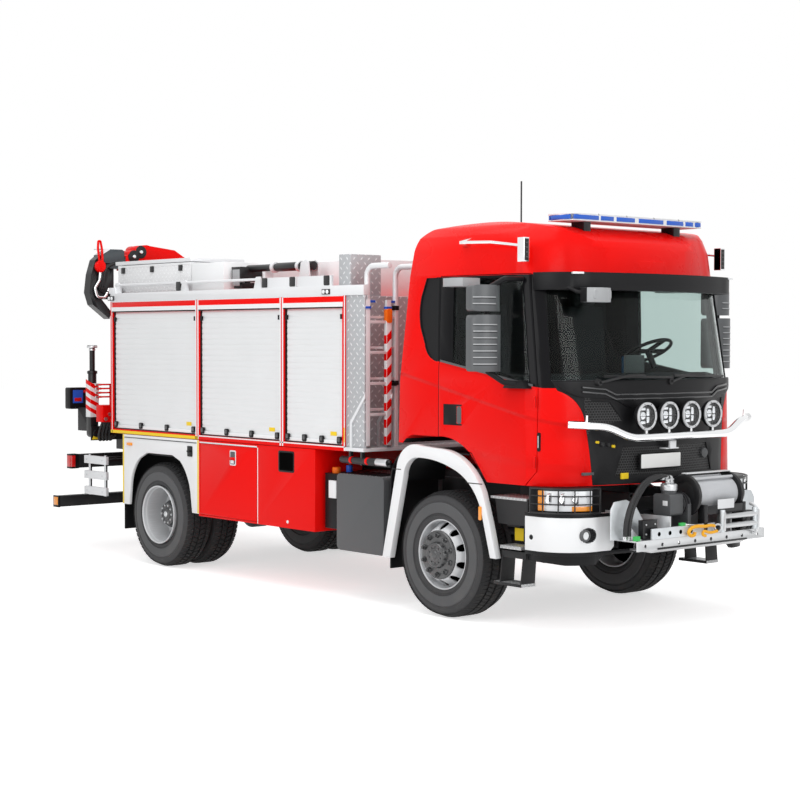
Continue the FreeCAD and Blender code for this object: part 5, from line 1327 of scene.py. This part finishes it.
def winch_rope():
    """The turns of rope on the drum."""
    coil = Shape("winch_rope_turn", "winch", "rope")
    section = []
    for step in range(9):
        angle = 2 * math.pi * step / 8
        section.append((ROPE_HALF * math.sin(angle), ROPE_COIL + ROPE_HALF * math.cos(angle)))
    coil.lathe(section, (-0.030, DRUM_Y, DRUM_Z), "X", 48)
    repeat(coil.done(), "rope", ROPE_TURNS, step=(ROPE_PITCH, 0, 0))


def winch_frame():
    """The drum's flanges, feet and uprights, and the plates between them."""
    y, z = DRUM_Y, DRUM_Z
    part = Shape("winch_parts", "winch", "black_paint")
    for x in (-0.064, 0.476):
        part.lathe([(-0.004, 0.118), (-0.004, 0.166), (0.006, 0.172), (0.018, 0.172), (0.028, 0.166),
                    (0.028, 0.118), (-0.004, 0.118)], (x, y, z), "X", 56)
    for x in ((-0.130, 0.010), (0.480, 0.600)):
        part.box(x, (y - 0.150, y + 0.120), (BED_TOP, 0.796))
    for x in ((-0.010, 0.030), (0.480, 0.520)):
        part.box(x, (y - 0.172, y - 0.100), (0.790, 1.010))
    part.box((0.030, 0.480), (y - 0.172, y - 0.160), (0.930, 1.000))
    part.box((0.150, 0.360), (y - 0.178, y - 0.171), (0.968, 1.046), "aluminium")
    part.box((-0.062, 0.496), (y - 0.030, y + 0.030), (1.252, 1.262), "aluminium")
    part.done(bevel=0.004)


def winch_motor():
    """The winch motor's casing, fins, cap and label."""
    y, z = DRUM_Y, DRUM_Z
    motor = Shape("winch_motor_parts", "winch", "grey_paint")
    motor.prism(rounded((y - 0.088, y + 0.088), (0.934, 1.106), 0.024), -0.337, -0.180)
    for number in range(3):
        motor.lathe([(0, 0.070), (0, 0.090), (0.012, 0.090), (0.012, 0.070), (0, 0.070)],
                    (-0.165 + number * 0.030, y, z - 0.060), "X", 40, "cast_iron")
    motor.lathe([(0, 0), (0, 0.062), (0.004, 0.068), (0.048, 0.068), (0.054, 0.062), (0.054, 0)],
                (-0.250, y, 1.130), "Z", 40, "steel")
    motor.box((-0.3385, -0.336), (y - 0.060, y - 0.010), (1.015, 1.055), "white_paint")
    motor.done(bevel=0.004)


def winch_hoses():
    """The pair of ribbed hoses from the motor down to the bed, with their fittings."""
    y = DRUM_Y
    hoses = Shape("winch_hose_pair", "winch_hoses", "rubber")
    fittings = Shape("hose_fittings", "winch", "steel")
    for x in (-0.265, -0.225):
        hoses.tube([(x - 0.035, y - 0.002, 1.238), (x - 0.180, y - 0.020, 1.250),
                    (x - 0.350, y - 0.040, 1.200), (x - 0.490, y - 0.055, 1.070),
                    (x - 0.560, y - 0.060, 0.930), (x - 0.575, y - 0.060, 0.790)],
                   0.0185, 16, curved=22, ribs=0.10)
        fittings.tube([(x, y, 1.180), (x, y, 1.222), (x - 0.012, y, 1.238), (x - 0.060, y - 0.004, 1.240)],
                      0.0165, 12, curved=3)
        for level in (1.186, 1.210):
            fittings.ring((0.015, 0.023), (0, 0.016), (x, y, level), "Z", 6)
        fittings.pin(0.022, (0, 0.030), (x - 0.090, y - 0.007, 1.240), "X", 6)
        fittings.pin(0.022, (0, 0.030), (x - 0.575, y - 0.060, 0.776), "Z", 6)
    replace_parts(hoses.done(), "winch_hoses")
    fittings.done(bevel=0.0015)


def winch_bed_parts():
    """The bed's side brackets with their bolts, a plate whose holes are near-black discs of painted shade,
    green lugs, white hoop, rollers and bar.
    """
    bed = Shape("winch_bed_parts", "winch_bed", "galvanised")
    for _, side in SIDES:
        x = 0.700 * side
        outline = [(reach * side, height) for reach, height in BED_BRACKET]
        bed.prism(outline, aft(-1.606), aft(-1.594), "Y")
        bed.box((x - 0.180 * side, x - 0.012 * side), span(-1.752, -1.700), (0.778, 0.925), "black_paint")
        for inwards in (0.045, 0.150):
            for level in (0.815, 0.890):
                bed.stud((0.008, 0.008), (-0.008, 0.004), (x - inwards * side, aft(-1.752), level),
                         "Y", 6, "steel")
    bed.box((-0.640, 0.130), span(-1.806, -1.786), (0.775, 0.860), "galvanised")
    for number in range(4):
        # painted shade: near-black discs standing for the holes of the plate
        bed.stud((0.017, 0.019), (-0.003, 0.003), (-0.560 + number * 0.130, aft(-1.806), 0.815),
                 "Y", 20, "hole_shade")
    bed.box((-0.820, -0.765), span(-1.792, -1.760), (0.775, 0.812), "green_plastic")
    bed.box((-0.300, -0.245), span(-1.812, -1.780), (0.860, 0.885), "green_plastic")
    bed.tube([(0.640, aft(-1.760), 0.745), (0.640, aft(-1.832), 0.760), (0.640, aft(-1.840), 0.940),
              (0.640, aft(-1.760), 0.985)], 0.014, 10, "white_paint", curved=5)
    for x in (0.190, 0.610):
        bed.pin(0.022, (0.780, 0.960), (x, aft(-1.833), 0), "Z", 20)
    bed.box((-0.560, 0.560), span(-1.798, -1.780), (0.690, 0.706), "black_paint")
    bed.done(bevel=0.003)


def rope_hook():
    """The orange hook on its steel link, with the end of the rope that leads to it."""
    hook = Shape("rope_hook", "winch_bed", "orange_hook")
    front = BED_FRONT
    hook.tube([(-0.030, front, 0.842), (-0.120, front, 0.850), (-0.195, front, 0.842),
               (-0.236, front, 0.812), (-0.215, front, 0.782), (-0.170, front, 0.782),
               (-0.160, front, 0.806)], 0.0145, 12, curved=6)
    hook.tube([(-0.030, front, 0.842), (0.040, front, 0.846), (0.085, front, 0.838)], 0.013, 12, curved=4)
    hook.tube([(0.105, front - 0.012, 0.796), (0.020, front - 0.012, 0.790), (-0.060, front - 0.012, 0.806),
               (-0.075, front - 0.012, 0.780), (-0.040, front - 0.012, 0.768)], 0.012, 12, curved=6)
    hook.tube([(0.080, front, 0.836), (0.120, front, 0.850), (0.165, front, 0.835), (0.165, front, 0.800),
               (0.115, front, 0.790), (0.080, front, 0.836)], 0.009, 10, "steel", curved=6)
    hook.tube([(-0.030, front + 0.004, 0.844), (-0.180, front + 0.020, 0.862), (-0.240, aft(-1.780), 0.868)],
              0.008, 8, "steel", curved=4)
    hook.done()


# ------------------------------------------------------------------ between cab and body
STILE_X, STILE_Z, STRIPE = (-0.982, -0.928), (1.400, 2.505), 0.075
PIPE_X, PIPE_Z = -1.212, 1.264


def ladder_details():
    """The ladder's striped stile, caps and clamps, the walkway's bolts and the ringed pipe below it."""
    part = Shape("ladder_parts", "walkway", "red_paint")
    y = aft(1.000)
    (left, right), low = STILE_X, STILE_Z[0]
    part.box(STILE_X, (y - 0.004, y + 0.004), STILE_Z, "white_paint")
    part.box((left - 0.003, left + 0.004), (y - 0.003, y + 0.032), STILE_Z, "white_paint")
    for number in range(int((STILE_Z[1] - low) / STRIPE / 2)):
        z = low + number * STRIPE * 2
        part.prism([(left, z), (right, z + 0.050), (right, z + 0.050 + STRIPE), (left, z + STRIPE)],
                   y - 0.0052, y - 0.0035, "Y")
        part.box((left - 0.0042, left - 0.0025), (y - 0.003, y + 0.032), (z, z + STRIPE))
    part.prism(rounded((left - 0.004, right + 0.004), (2.485, 2.612), 0.020), y - 0.010, y + 0.034, "Y",
               "orange_paint")
    for centre, z in ((-0.955, 2.610), (-1.196, 2.610), (-0.955, 1.378), (-1.196, 1.378), (-1.110, 2.665),
                      (-0.880, 2.665)):
        behind = 0.045 if z > 2.65 else 0
        part.box((centre - 0.030, centre + 0.030), (y - 0.006 + behind, y + 0.036 + behind), (z, z + 0.020),
                 "steel" if z < 1.5 else "blue_plastic")
    for centre in (-1.160, -0.830):
        for z in (1.95, 2.62):
            part.ring((0.026, 0.034), (-0.020, 0.020), (centre, aft(1.058), z), "Z", 20, "black_plastic")
    part.box((-0.930, -0.860), (y, y + 0.030), (1.925, 1.955), "black_plastic")
    for number in range(12):
        part.stud((0.007, 0.007), (0, 0.005), (-1.22 + number * 0.08, aft(1.010), 1.352), "Y", 8, "steel")
    part.pin(0.030, (0, 0.646), (PIPE_X, aft(0.700), PIPE_Z), "Y", 24, "rubber")
    part.ring((0.026, 0.033), (0, 0.150), (PIPE_X, aft(0.705), PIPE_Z), "Y", 24, "steel")
    for y_ring in (0.980, 1.200):
        part.ring((0.028, 0.034), (-0.014, 0.014), (PIPE_X, aft(y_ring), PIPE_Z), "Y", 24, "red_paint")
    part.done(bevel=0.002)


def tank_details():
    """The side tanks' ribs and label, and the orange and blue caps on top."""
    for side_name, side in SIDES:
        tank = Shape("tank_parts_" + side_name, "side_tanks", "black_plastic")
        for number in range(7):
            y = aft(0.840 + number * 0.082)
            tank.box((-1.190, -0.900), (y, y + 0.046), (1.1345, 1.1405))
        tank.box((-1.195, -1.170), span(1.452, 1.560), (0.900, 1.060), "white_paint")
        tank.lathe([(0, 0), (0, 0.040), (0.050, 0.040), (0.056, 0.034), (0.056, 0)],
                   (-1.10, aft(1.560), 1.120), "Z", 24, "orange_paint")
        tank.pin(0.030, (0, 0.070), (-1.00, aft(1.500), 1.120), "Z", 20, "blue_plastic")
        tank.done(bevel=0.004, side=side)


# ------------------------------------------------------------------ roof load
def roof_load():
    """The roof lockers' latches and strip, the rails' brackets and lamps, the mast's collars and label."""
    part = Shape("locker_latches", "plate_lockers", "black_paint")
    for y in (3.990, 4.520, 5.080):
        part.box((-1.164, -1.149), span(y, y + 0.060), (3.030, 3.090))
    part.box((-1.153, -1.149), span(3.846, 5.215), (3.090, 3.114), "white_paint")
    part.done(bevel=0.003)
    rail = Shape("rail_parts", "roof_rails", "black_paint")
    for y in (1.500, 2.010, 2.440, 3.900):
        rail.prism(rounded(span(y, y + 0.085), (2.825, 2.915), 0.012), -1.236, -1.205)
    for y in (5.140, 1.470):
        rail.box((-1.262, -1.248), span(y, y + 0.110), (2.742, 2.790))
        for step in (0.028, 0.082):
            rail.stud((0.018, 0.020), (-0.016, 0.002), (-1.252, aft(y + step), 2.766), "X", 16,
                      "white_lens")
    rail.done(bevel=0.002)
    mast = Shape("mast_lamps", "light_mast", "grey_paint")
    face = right_face("light_mast")
    for y in (2.300, 2.700):
        mast.ring((0.030, 0.052), (-0.020, 0.020), (-0.950, aft(y), 3.030), "Y", 24, "aluminium")
    mast.box((face - 0.001, face + 0.002), span(3.100, 3.220), (2.860, 3.020), "pale_grey_and_highlight")
    mast.done(bevel=0.002)


# ------------------------------------------------------------------ crane and stabilisers
LEG_X, LEG_Y, LEG_HALF, STRIPE_PITCH = -1.085, aft(5.870), 0.052, 0.092
BOOM_Y = aft(6.050)


def stabiliser_details():
    """The legs' striped plates and collars, the feet's rings, and the beams' warning triangles."""
    x, y = LEG_X, LEG_Y
    for side_name, side in SIDES:
        leg = Shape("leg_stripes_" + side_name, "stabiliser_leg_" + side_name, "white_paint")
        leg.box((x - LEG_HALF, x + LEG_HALF), (y - 0.051, y - 0.046), (1.480, 1.850))
        leg.box((x - LEG_HALF, x - 0.046), (y - 0.050, y + 0.050), (1.480, 1.850))
        for number in range(4):
            z = 1.490 + number * STRIPE_PITCH
            leg.prism([(x - LEG_HALF, z + 0.050), (x + LEG_HALF, z), (x + LEG_HALF, z + 0.046),
                       (x - LEG_HALF, z + 0.096)], y - 0.0522, y - 0.050, "Y", "red_paint")
            leg.prism([(y - 0.050, z + 0.050), (y + 0.050, z + 0.085), (y + 0.050, z + 0.131),
                       (y - 0.050, z + 0.096)], x - 0.0532, x - 0.051, "X", "red_paint")
        leg.ring((0.046, 0.056), (0, 0.030), (x, y, 1.955), "Z", 32, "black_paint")
        leg.done(bevel=0.001, side=side)
        foot = Shape("foot_ring_" + side_name, "stabiliser_foot_" + side_name, "steel")
        foot.lathe([(0, 0), (0, 0.056), (0.010, 0.060), (0.020, 0.056), (0.030, 0.052), (0.030, 0)],
                   (x, y, 2.2385), "Z", 36)
        foot.ring((0.030, 0.036), (0, 0.02), (x, y, 2.210), "Z", 24)
        foot.done(bevel=0.001, side=side)
        beam = Shape("beam_parts_" + side_name, "stabiliser_beam_" + side_name, "yellow_paint")
        beam.prism([(x - 0.050, 1.235), (x + 0.050, 1.235), (x, 1.335)], y - 0.0775, y - 0.074, "Y")
        beam.stud((0.036, 0.040), (-0.010, 0.004), (x, y - 0.076, 1.300), "Y", 24, "black_paint")
        beam.done(bevel=0.001, side=side)


def control_box():
    """The face of the crane's control box: its frame, blue panel and red buttons."""
    base = Shape("control_parts", "crane_base", "black_plastic")
    x0, x1, y0, z0, z1 = -1.000, -0.790, aft(6.500), 1.550, 1.780
    frame_edge = rounded((x0 - 0.004, x1 + 0.004), (z0 - 0.006, z1 + 0.006), 0.018)
    base.prism(frame_edge, y0 - 0.012, y0 + 0.099, "Y")
    panel_edge = rounded((x0 + 0.030, x1 - 0.050), (z0 + 0.060, z1 - 0.022), 0.008)
    base.prism(panel_edge, y0 - 0.016, y0 - 0.011, "Y", "blue_plastic")
    base.box((x0 + 0.050, x1 - 0.070), (y0 - 0.0175, y0 - 0.0155), (z0 + 0.080, z0 + 0.120), "red_lens")
    base.stud((0.018, 0.020), (-0.02, 0.002), (x1 - 0.026, y0 - 0.012, z0 + 0.190), "Y", 24, "red_lens")
    base.done(bevel=0.002)


def valve_details():
    """The ends of the crane's valves, and the hoses that leave them."""
    valve = Shape("valve_parts", "crane_base", "steel")
    for z in (1.708, 1.753, 1.798, 1.842):
        valve.pin(0.012, (-0.010, 0.06), (-1.190, aft(5.610), z), "X", 12)
    for number, z in enumerate((1.470, 1.520, 1.570)):
        valve.stud((0.020, 0.020), (-0.016, 0.004), (-1.120 + number * 0.05, aft(5.540), z), "Y", 16)
    for number in range(4):
        x = -1.120 + number * 0.042
        valve.tube([(x, aft(5.600), 1.440), (x - 0.020, aft(5.640), 1.300), (x + 0.040, aft(5.720), 1.230),
                    (x + 0.150, aft(5.790), 1.270)], 0.013, 10, "rubber", curved=6)
    valve.done()


def crane_head():
    """The plates and the hoses at the head of the folded crane."""
    tip = Shape("extension_parts", "crane_extension", "aluminium")
    tip.box((-0.905, -0.640), span(5.970, 6.130), (3.328, 3.340))
    tip.box((-0.915, -0.730), span(5.995, 6.100), (2.780, 3.140), "rubber")
    tip.box((-0.905, -0.640), span(5.966, 5.972), (3.180, 3.338))
    for number in range(4):
        y = aft(5.964 + number * 0.008)
        x = -0.860 - number * 0.018
        tip.tube([(x + 0.16, y, 3.190), (x + 0.02, y - 0.01, 3.130), (x - 0.020, y - 0.012, 3.020),
                  (x - 0.010, y - 0.010, 2.900), (x + 0.060, y, 2.840)], 0.012, 10, "rubber", curved=6)
    tip.done(bevel=0.002)


# ------------------------------------------------------------------ rear end
REAR_LAMP_Z = (0.925, 1.050)


def rear_details():
    """The lamp blocks of the rear beam and the underrun bar, and the planks' bolts."""
    for side_name, side in SIDES:
        part = Shape("rear_lamps_" + side_name, "rear_guards", "black_plastic")
        part.box((-1.246, -1.150), span(6.050, 6.150), (0.905, 1.066))
        part.box((-1.250, -1.205), span(6.030, 6.052), REAR_LAMP_Z, "red_lens")
        part.box((-1.252, -1.244), span(6.060, 6.140), REAR_LAMP_Z, "red_lens")
        part.box((-1.246, -1.225), span(6.334, 6.456), (0.455, 0.585))
        part.box((-1.250, -1.238), span(6.350, 6.440), (0.480, 0.570), "amber_lens")
        part.box((-1.150, -1.000), span(6.150, 6.156), REAR_LAMP_Z, "red_lens")
        part.box((-0.990, -0.900), span(6.150, 6.156), REAR_LAMP_Z, "amber_lens")
        for y in (5.420, 5.740):
            for z in (1.027, 0.862, 0.692):
                part.stud((0.009, 0.009), (-0.006, 0.003), (-1.235, aft(y), z), "X", 8, "steel")
        part.done(bevel=0.004, side=side)


# ------------------------------------------------------------------ cab inside
def padded(name, node, x, y, z, look="seat_fabric"):
    """A padded block: a box whose edges draw in a little and whose corners draw in more."""
    mesh = bmesh.new()
    bmesh.ops.create_cube(mesh, size=1.0)
    bmesh.ops.subdivide_edges(mesh, edges=mesh.edges, cuts=5, use_grid_fill=True)
    size = Vector((x[1] - x[0], y[1] - y[0], z[1] - z[0]))
    centre = Vector(((x[0] + x[1]) / 2, (y[0] + y[1]) / 2, (z[0] + z[1]) / 2))
    for vert in mesh.verts:
        share = vert.co * 2
        edge = sorted(abs(value) for value in share)
        swell = 1 - 0.10 * edge[1] ** 4 - 0.05 * edge[0] ** 4
        vert.co = Vector((share.x * size.x / 2, share.y * size.y / 2, share.z * size.z / 2)) * swell
        vert.co += centre
    data = bpy.data.meshes.new(name)
    mesh.to_mesh(data)
    mesh.free()
    data.materials.append(material(look))
    item = link(name, data)
    smooth = item.modifiers.new("smooth", "SUBSURF")
    smooth.levels = 1
    settled(item)
    for face in item.data.polygons:
        face.use_smooth = True
    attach(item, bodies[node])
    return item


SEAT_X, SEAT_LEAN = 0.620, 0.14


def cab_interior():
    """The padded seats and head rests, and the dash's vents and screen."""
    for number, x in enumerate((-SEAT_X, SEAT_X)):
        padded(f"seat_cushion_{number + 1}", "cab_interior", (x - 0.255, x + 0.255), span(-0.440, 0.080),
               (1.900, 2.040))
        back = padded(f"seat_back_{number + 1}", "cab_interior", (x - 0.250, x + 0.250), span(0.020, 0.180),
                      (2.020, 2.620))
        for vert in back.data.vertices:
            vert.co.y += (vert.co.z - 2.02) * SEAT_LEAN
        padded(f"head_rest_{number + 1}", "cab_interior", (x - 0.140, x + 0.140), span(0.090, 0.190),
               (2.640, 2.780))
    dash = Shape("dash_parts", "cab_interior", "grey_plastic")
    for x in (-0.85, -0.45, 0.10, 0.88):
        dash.box((x - 0.080, x + 0.080), span(-0.900, -0.868), (1.965, 2.015), "black_plastic")
    dash.box((0.02, 0.26), span(-0.905, -0.880), (2.050, 2.200), "screen_glass")
    dash.box((0.02, 0.26), span(-0.930, -0.905), (2.040, 2.210))
    dash.done(bevel=0.006)


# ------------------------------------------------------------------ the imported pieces, dressed
PLAIN = {"chassis_frame": "frame_paint", "driveline": "cast_iron", "front_axle": "cast_iron",
         "rear_axle": "cast_iron", "winch_bed": "steel", "winch": "grey_paint", "crane_base": "frame_paint",
         "crane_column": "red_paint", "inner_boom": "red_paint", "outer_boom": "red_paint",
         "crane_extension": "black_paint", "walkway": "aluminium", "body_shell": "red_paint",
         "shutters": "shutter", "lower_panels": "red_paint", "rear_arches": "white_paint",
         "plate_lockers": "tread_plate", "roof_locker_lid": "aluminium", "light_mast": "black_paint",
         "roof_rails": "aluminium", "rear_guards": "aluminium", "front_arches": "white_paint",
         "mudguards": "black_plastic", "cab_steps": "frame_paint", "side_tanks": "grey_paint",
         "roof_lights": "white_paint", "cab_shell": "cab_paint", "front_panel": "black_plastic",
         "cab_windows": "cab_glass", "cab_interior": "seat_fabric", "steering_wheel": "black_plastic",
         "sun_visor": "black_plastic", "front_bumper": "white_paint", "bull_bar": "chrome"}
PAIRED = {"knuckle": "cast_iron", "rim_rear": "rim_silver", "door": "cab_paint", "mirrors": "mirror_plastic",
          "door_glass": "cab_glass", "locker_flap": "red_paint", "stabiliser_beam": "black_paint",
          "stabiliser_leg": "black_paint", "stabiliser_foot": "black_paint"}
CAB_CENTRE = Vector((0, aft(-0.55), 2.2))


def inner_side(centre, normal):
    """1 on faces that look into the cab."""
    return int(normal.dot(centre - CAB_CENTRE) < 0)


def inner_door(centre, normal):
    """1 on faces that look into the cab, 2 in the handle dish."""
    x = abs(centre.x)
    if 1.150 < x < 1.199 and aft(-0.240) < centre.y < aft(0.030) and 1.620 < centre.z < 1.805:
        return 2
    return int(normal.x * centre.x < -0.1 * x)


def bumper_rule(centre, normal):
    """1 on the dark skirt below the white bumper ends."""
    return int(centre.z < 0.640)


def light_rule(centre, normal):
    """1 on the chrome side lamps and their arms, 2 on the feet and the aerial."""
    if abs(centre.x) > 1.05:
        return 1
    return 2 if centre.z < 3.301 or centre.y > aft(-0.7) else 0


def step_rule(centre, normal):
    """1 on the plated treads."""
    x, y, z = abs(centre.x), centre.y - AXLE_Y, centre.z
    upper = 1.049 < z < 1.071 and 0.929 < x < 1.196 and -0.971 < y < -0.559
    middle = 0.654 < z < 0.681 and 0.936 < x < 1.216 and -0.931 < y < -0.691
    return int(upper or middle or (0.359 < z < 0.386 and abs(normal.x) < 0.9))


def deck_rule(centre, normal):
    """1 on the plated deck, 2 on the pipes below it."""
    if centre.z < 1.330:
        return 2
    return int(centre.z < 1.3785)


def tank_rule(centre, normal):
    """1 on the plated top of the tank and 2 on the dark trough behind it."""
    if centre.y > aft(1.430):
        return 2
    return int(normal.z > 0.9 and centre.z > 1.1)


def guard_rule(centre, normal):
    """1 on the dark bar, beam and brackets at the rear, 0 on the bright planks and stays."""
    return int(centre.y > aft(5.850) or abs(centre.x) < 1.178)


def boom_rule(centre, normal):
    """1 on the dark cheek discs, 2 on the ends of their pins."""
    away = abs(centre.y - BOOM_Y)
    return 2 if away > 0.1125 else int(away > 0.1005)


def extension_rule(centre, normal):
    """1 on the red swivel and shackle, 2 on the hook, 3 on the slider and cover, 4 on the cover's top."""
    x, z, ahead = centre.x, centre.z, BOOM_Y - centre.y
    if ahead > 0.0605 and x < -0.860 and (z > 3.045 or ahead > 0.104):
        return 1 if z > 3.060 else 2
    if ahead > 0.0605 and z < 3.095:
        return 2
    if x > -0.902 and z > 3.178 and (abs(ahead) > 0.070 or z > 3.235):
        return 4 if normal.z > 0.25 or normal.x < -0.5 else 3
    return 3 if x > -0.745 and z > 3.100 else 0


def mirror_rule(centre, normal):
    """1 on the black arms and feet of the mirrors, 2 on the kerb mirror."""
    x, z = abs(centre.x), centre.z
    housing = 1.298 < x < 1.602 and 2.083 < z < 2.774 and centre.y < aft(-0.689) and not 2.536 < z < 2.561
    kerb = 2.769 < z < 2.839 and centre.y > aft(-0.471)
    return 2 if kerb else int(not housing)


def visor_rule(centre, normal):
    """1 on the housing of the mirror that hangs from the visor."""
    return int(centre.y < aft(-1.385) and 2.63 < centre.z < 2.76 and -1.0 < centre.x < -0.74)


def quarter_rule(centre, normal):
    """1 on the blanked windows behind the doors."""
    return int(abs(centre.x) > 1.10 and centre.y > aft(0.130))


def crane_base_rule(centre, normal):
    """1 on the red valve block and its lever plates."""
    return int(centre.y < aft(5.690) and centre.z > 1.430)


def winch_rule(centre, normal):
    """1 on the dark drum ends, feet and gearbox, 2 on the drum."""
    if -0.03 < centre.x < 0.475 and centre.z > 0.95:
        return 2
    return int(centre.x > -0.061)


def panel_rule(centre, normal):
    """1 on the sunk mesh fields of the front panel."""
    x, z = abs(centre.x), centre.z
    if normal.y > -0.2:
        return 0
    top = min(1.85 - (0.845 - x) * 0.02, 1.85 - max(0, 0.64 - x) * 1.35)
    foot = 1.64 + max(0, 0.80 - x) * 0.17
    upper = 0.52 < x < 0.84 and foot < z < top
    lower = 1.252 < z < 1.478 and x < min(0.600, 0.52 + (1.48 - z) * 0.35)
    return int(upper or lower)


def roof_box_rule(centre, normal):
    """1 on the plain white boxes along the roof, 2 on the finer plate of the long locker."""
    if 3.838 < centre.y - AXLE_Y < 5.3 and centre.x < -0.4 and centre.z > 2.72:
        return 2
    return int(centre.y > aft(1.430))


# node: the rule that picks a look for each face, and the looks it picks from, counted from 1
RULES = {"cab_shell": (inner_side, ["cab_lining"]),
         "front_bumper": (bumper_rule, ["black_plastic"]),
         "roof_lights": (light_rule, ["chrome", "black_paint"]),
         "winch": (winch_rule, ["black_paint", "rope"]),
         "front_panel": (panel_rule, ["front_mesh"]),
         "cab_steps": (step_rule, ["step_plate"]),
         "walkway": (deck_rule, ["tread_plate", "rubber"]),
         "side_tanks": (tank_rule, ["tank_plate", "black_plastic"]),
         "rear_guards": (guard_rule, ["frame_paint"]),
         "outer_boom": (boom_rule, ["black_paint", "chrome"]),
         "crane_extension": (extension_rule, ["red_paint", "chrome", "slate_paint", "aluminium"]),
         "cab_windows": (quarter_rule, ["black_plastic"]),
         # painted highlight: the housing of the visor's mirror in pale grey
         "sun_visor": (visor_rule, ["pale_grey_and_highlight"]),
         "crane_base": (crane_base_rule, ["red_paint"]),
         "plate_lockers": (roof_box_rule, ["white_paint", "box_plate"])}
for side_name, _ in SIDES:
    # painted highlight: the kerb mirror in pale grey
    RULES["mirrors_" + side_name] = (mirror_rule, ["black_plastic", "pale_grey_and_highlight"])
    RULES["door_" + side_name] = (inner_door, ["cab_lining", "black_plastic"])


def dress_all():
    """Every CAD node with its own finish and softened edges."""
    looks = dict(PLAIN)
    for name, look in PAIRED.items():
        for side, _ in SIDES:
            looks[f"{name}_{side}"] = look
    for node, look in looks.items():
        glass = look.endswith("glass")
        rule, more = RULES.get(node, (None, ()))
        dress(node, look, bevel=0 if glass else 0.003, rule=rule, looks=more)


camera()
studio()
for make in (wheels, head_lamps, round_lamps, dress_all, shutters, body_trims, door_details, front_details,
             wipers, bumper_details, roof_details, mirror_details, winch_rope, winch_frame, winch_motor,
             winch_hoses, winch_bed_parts, rope_hook, ladder_details, tank_details, roof_load,
             stabiliser_details, control_box, valve_details, crane_head, rear_details, cab_interior):
    make()
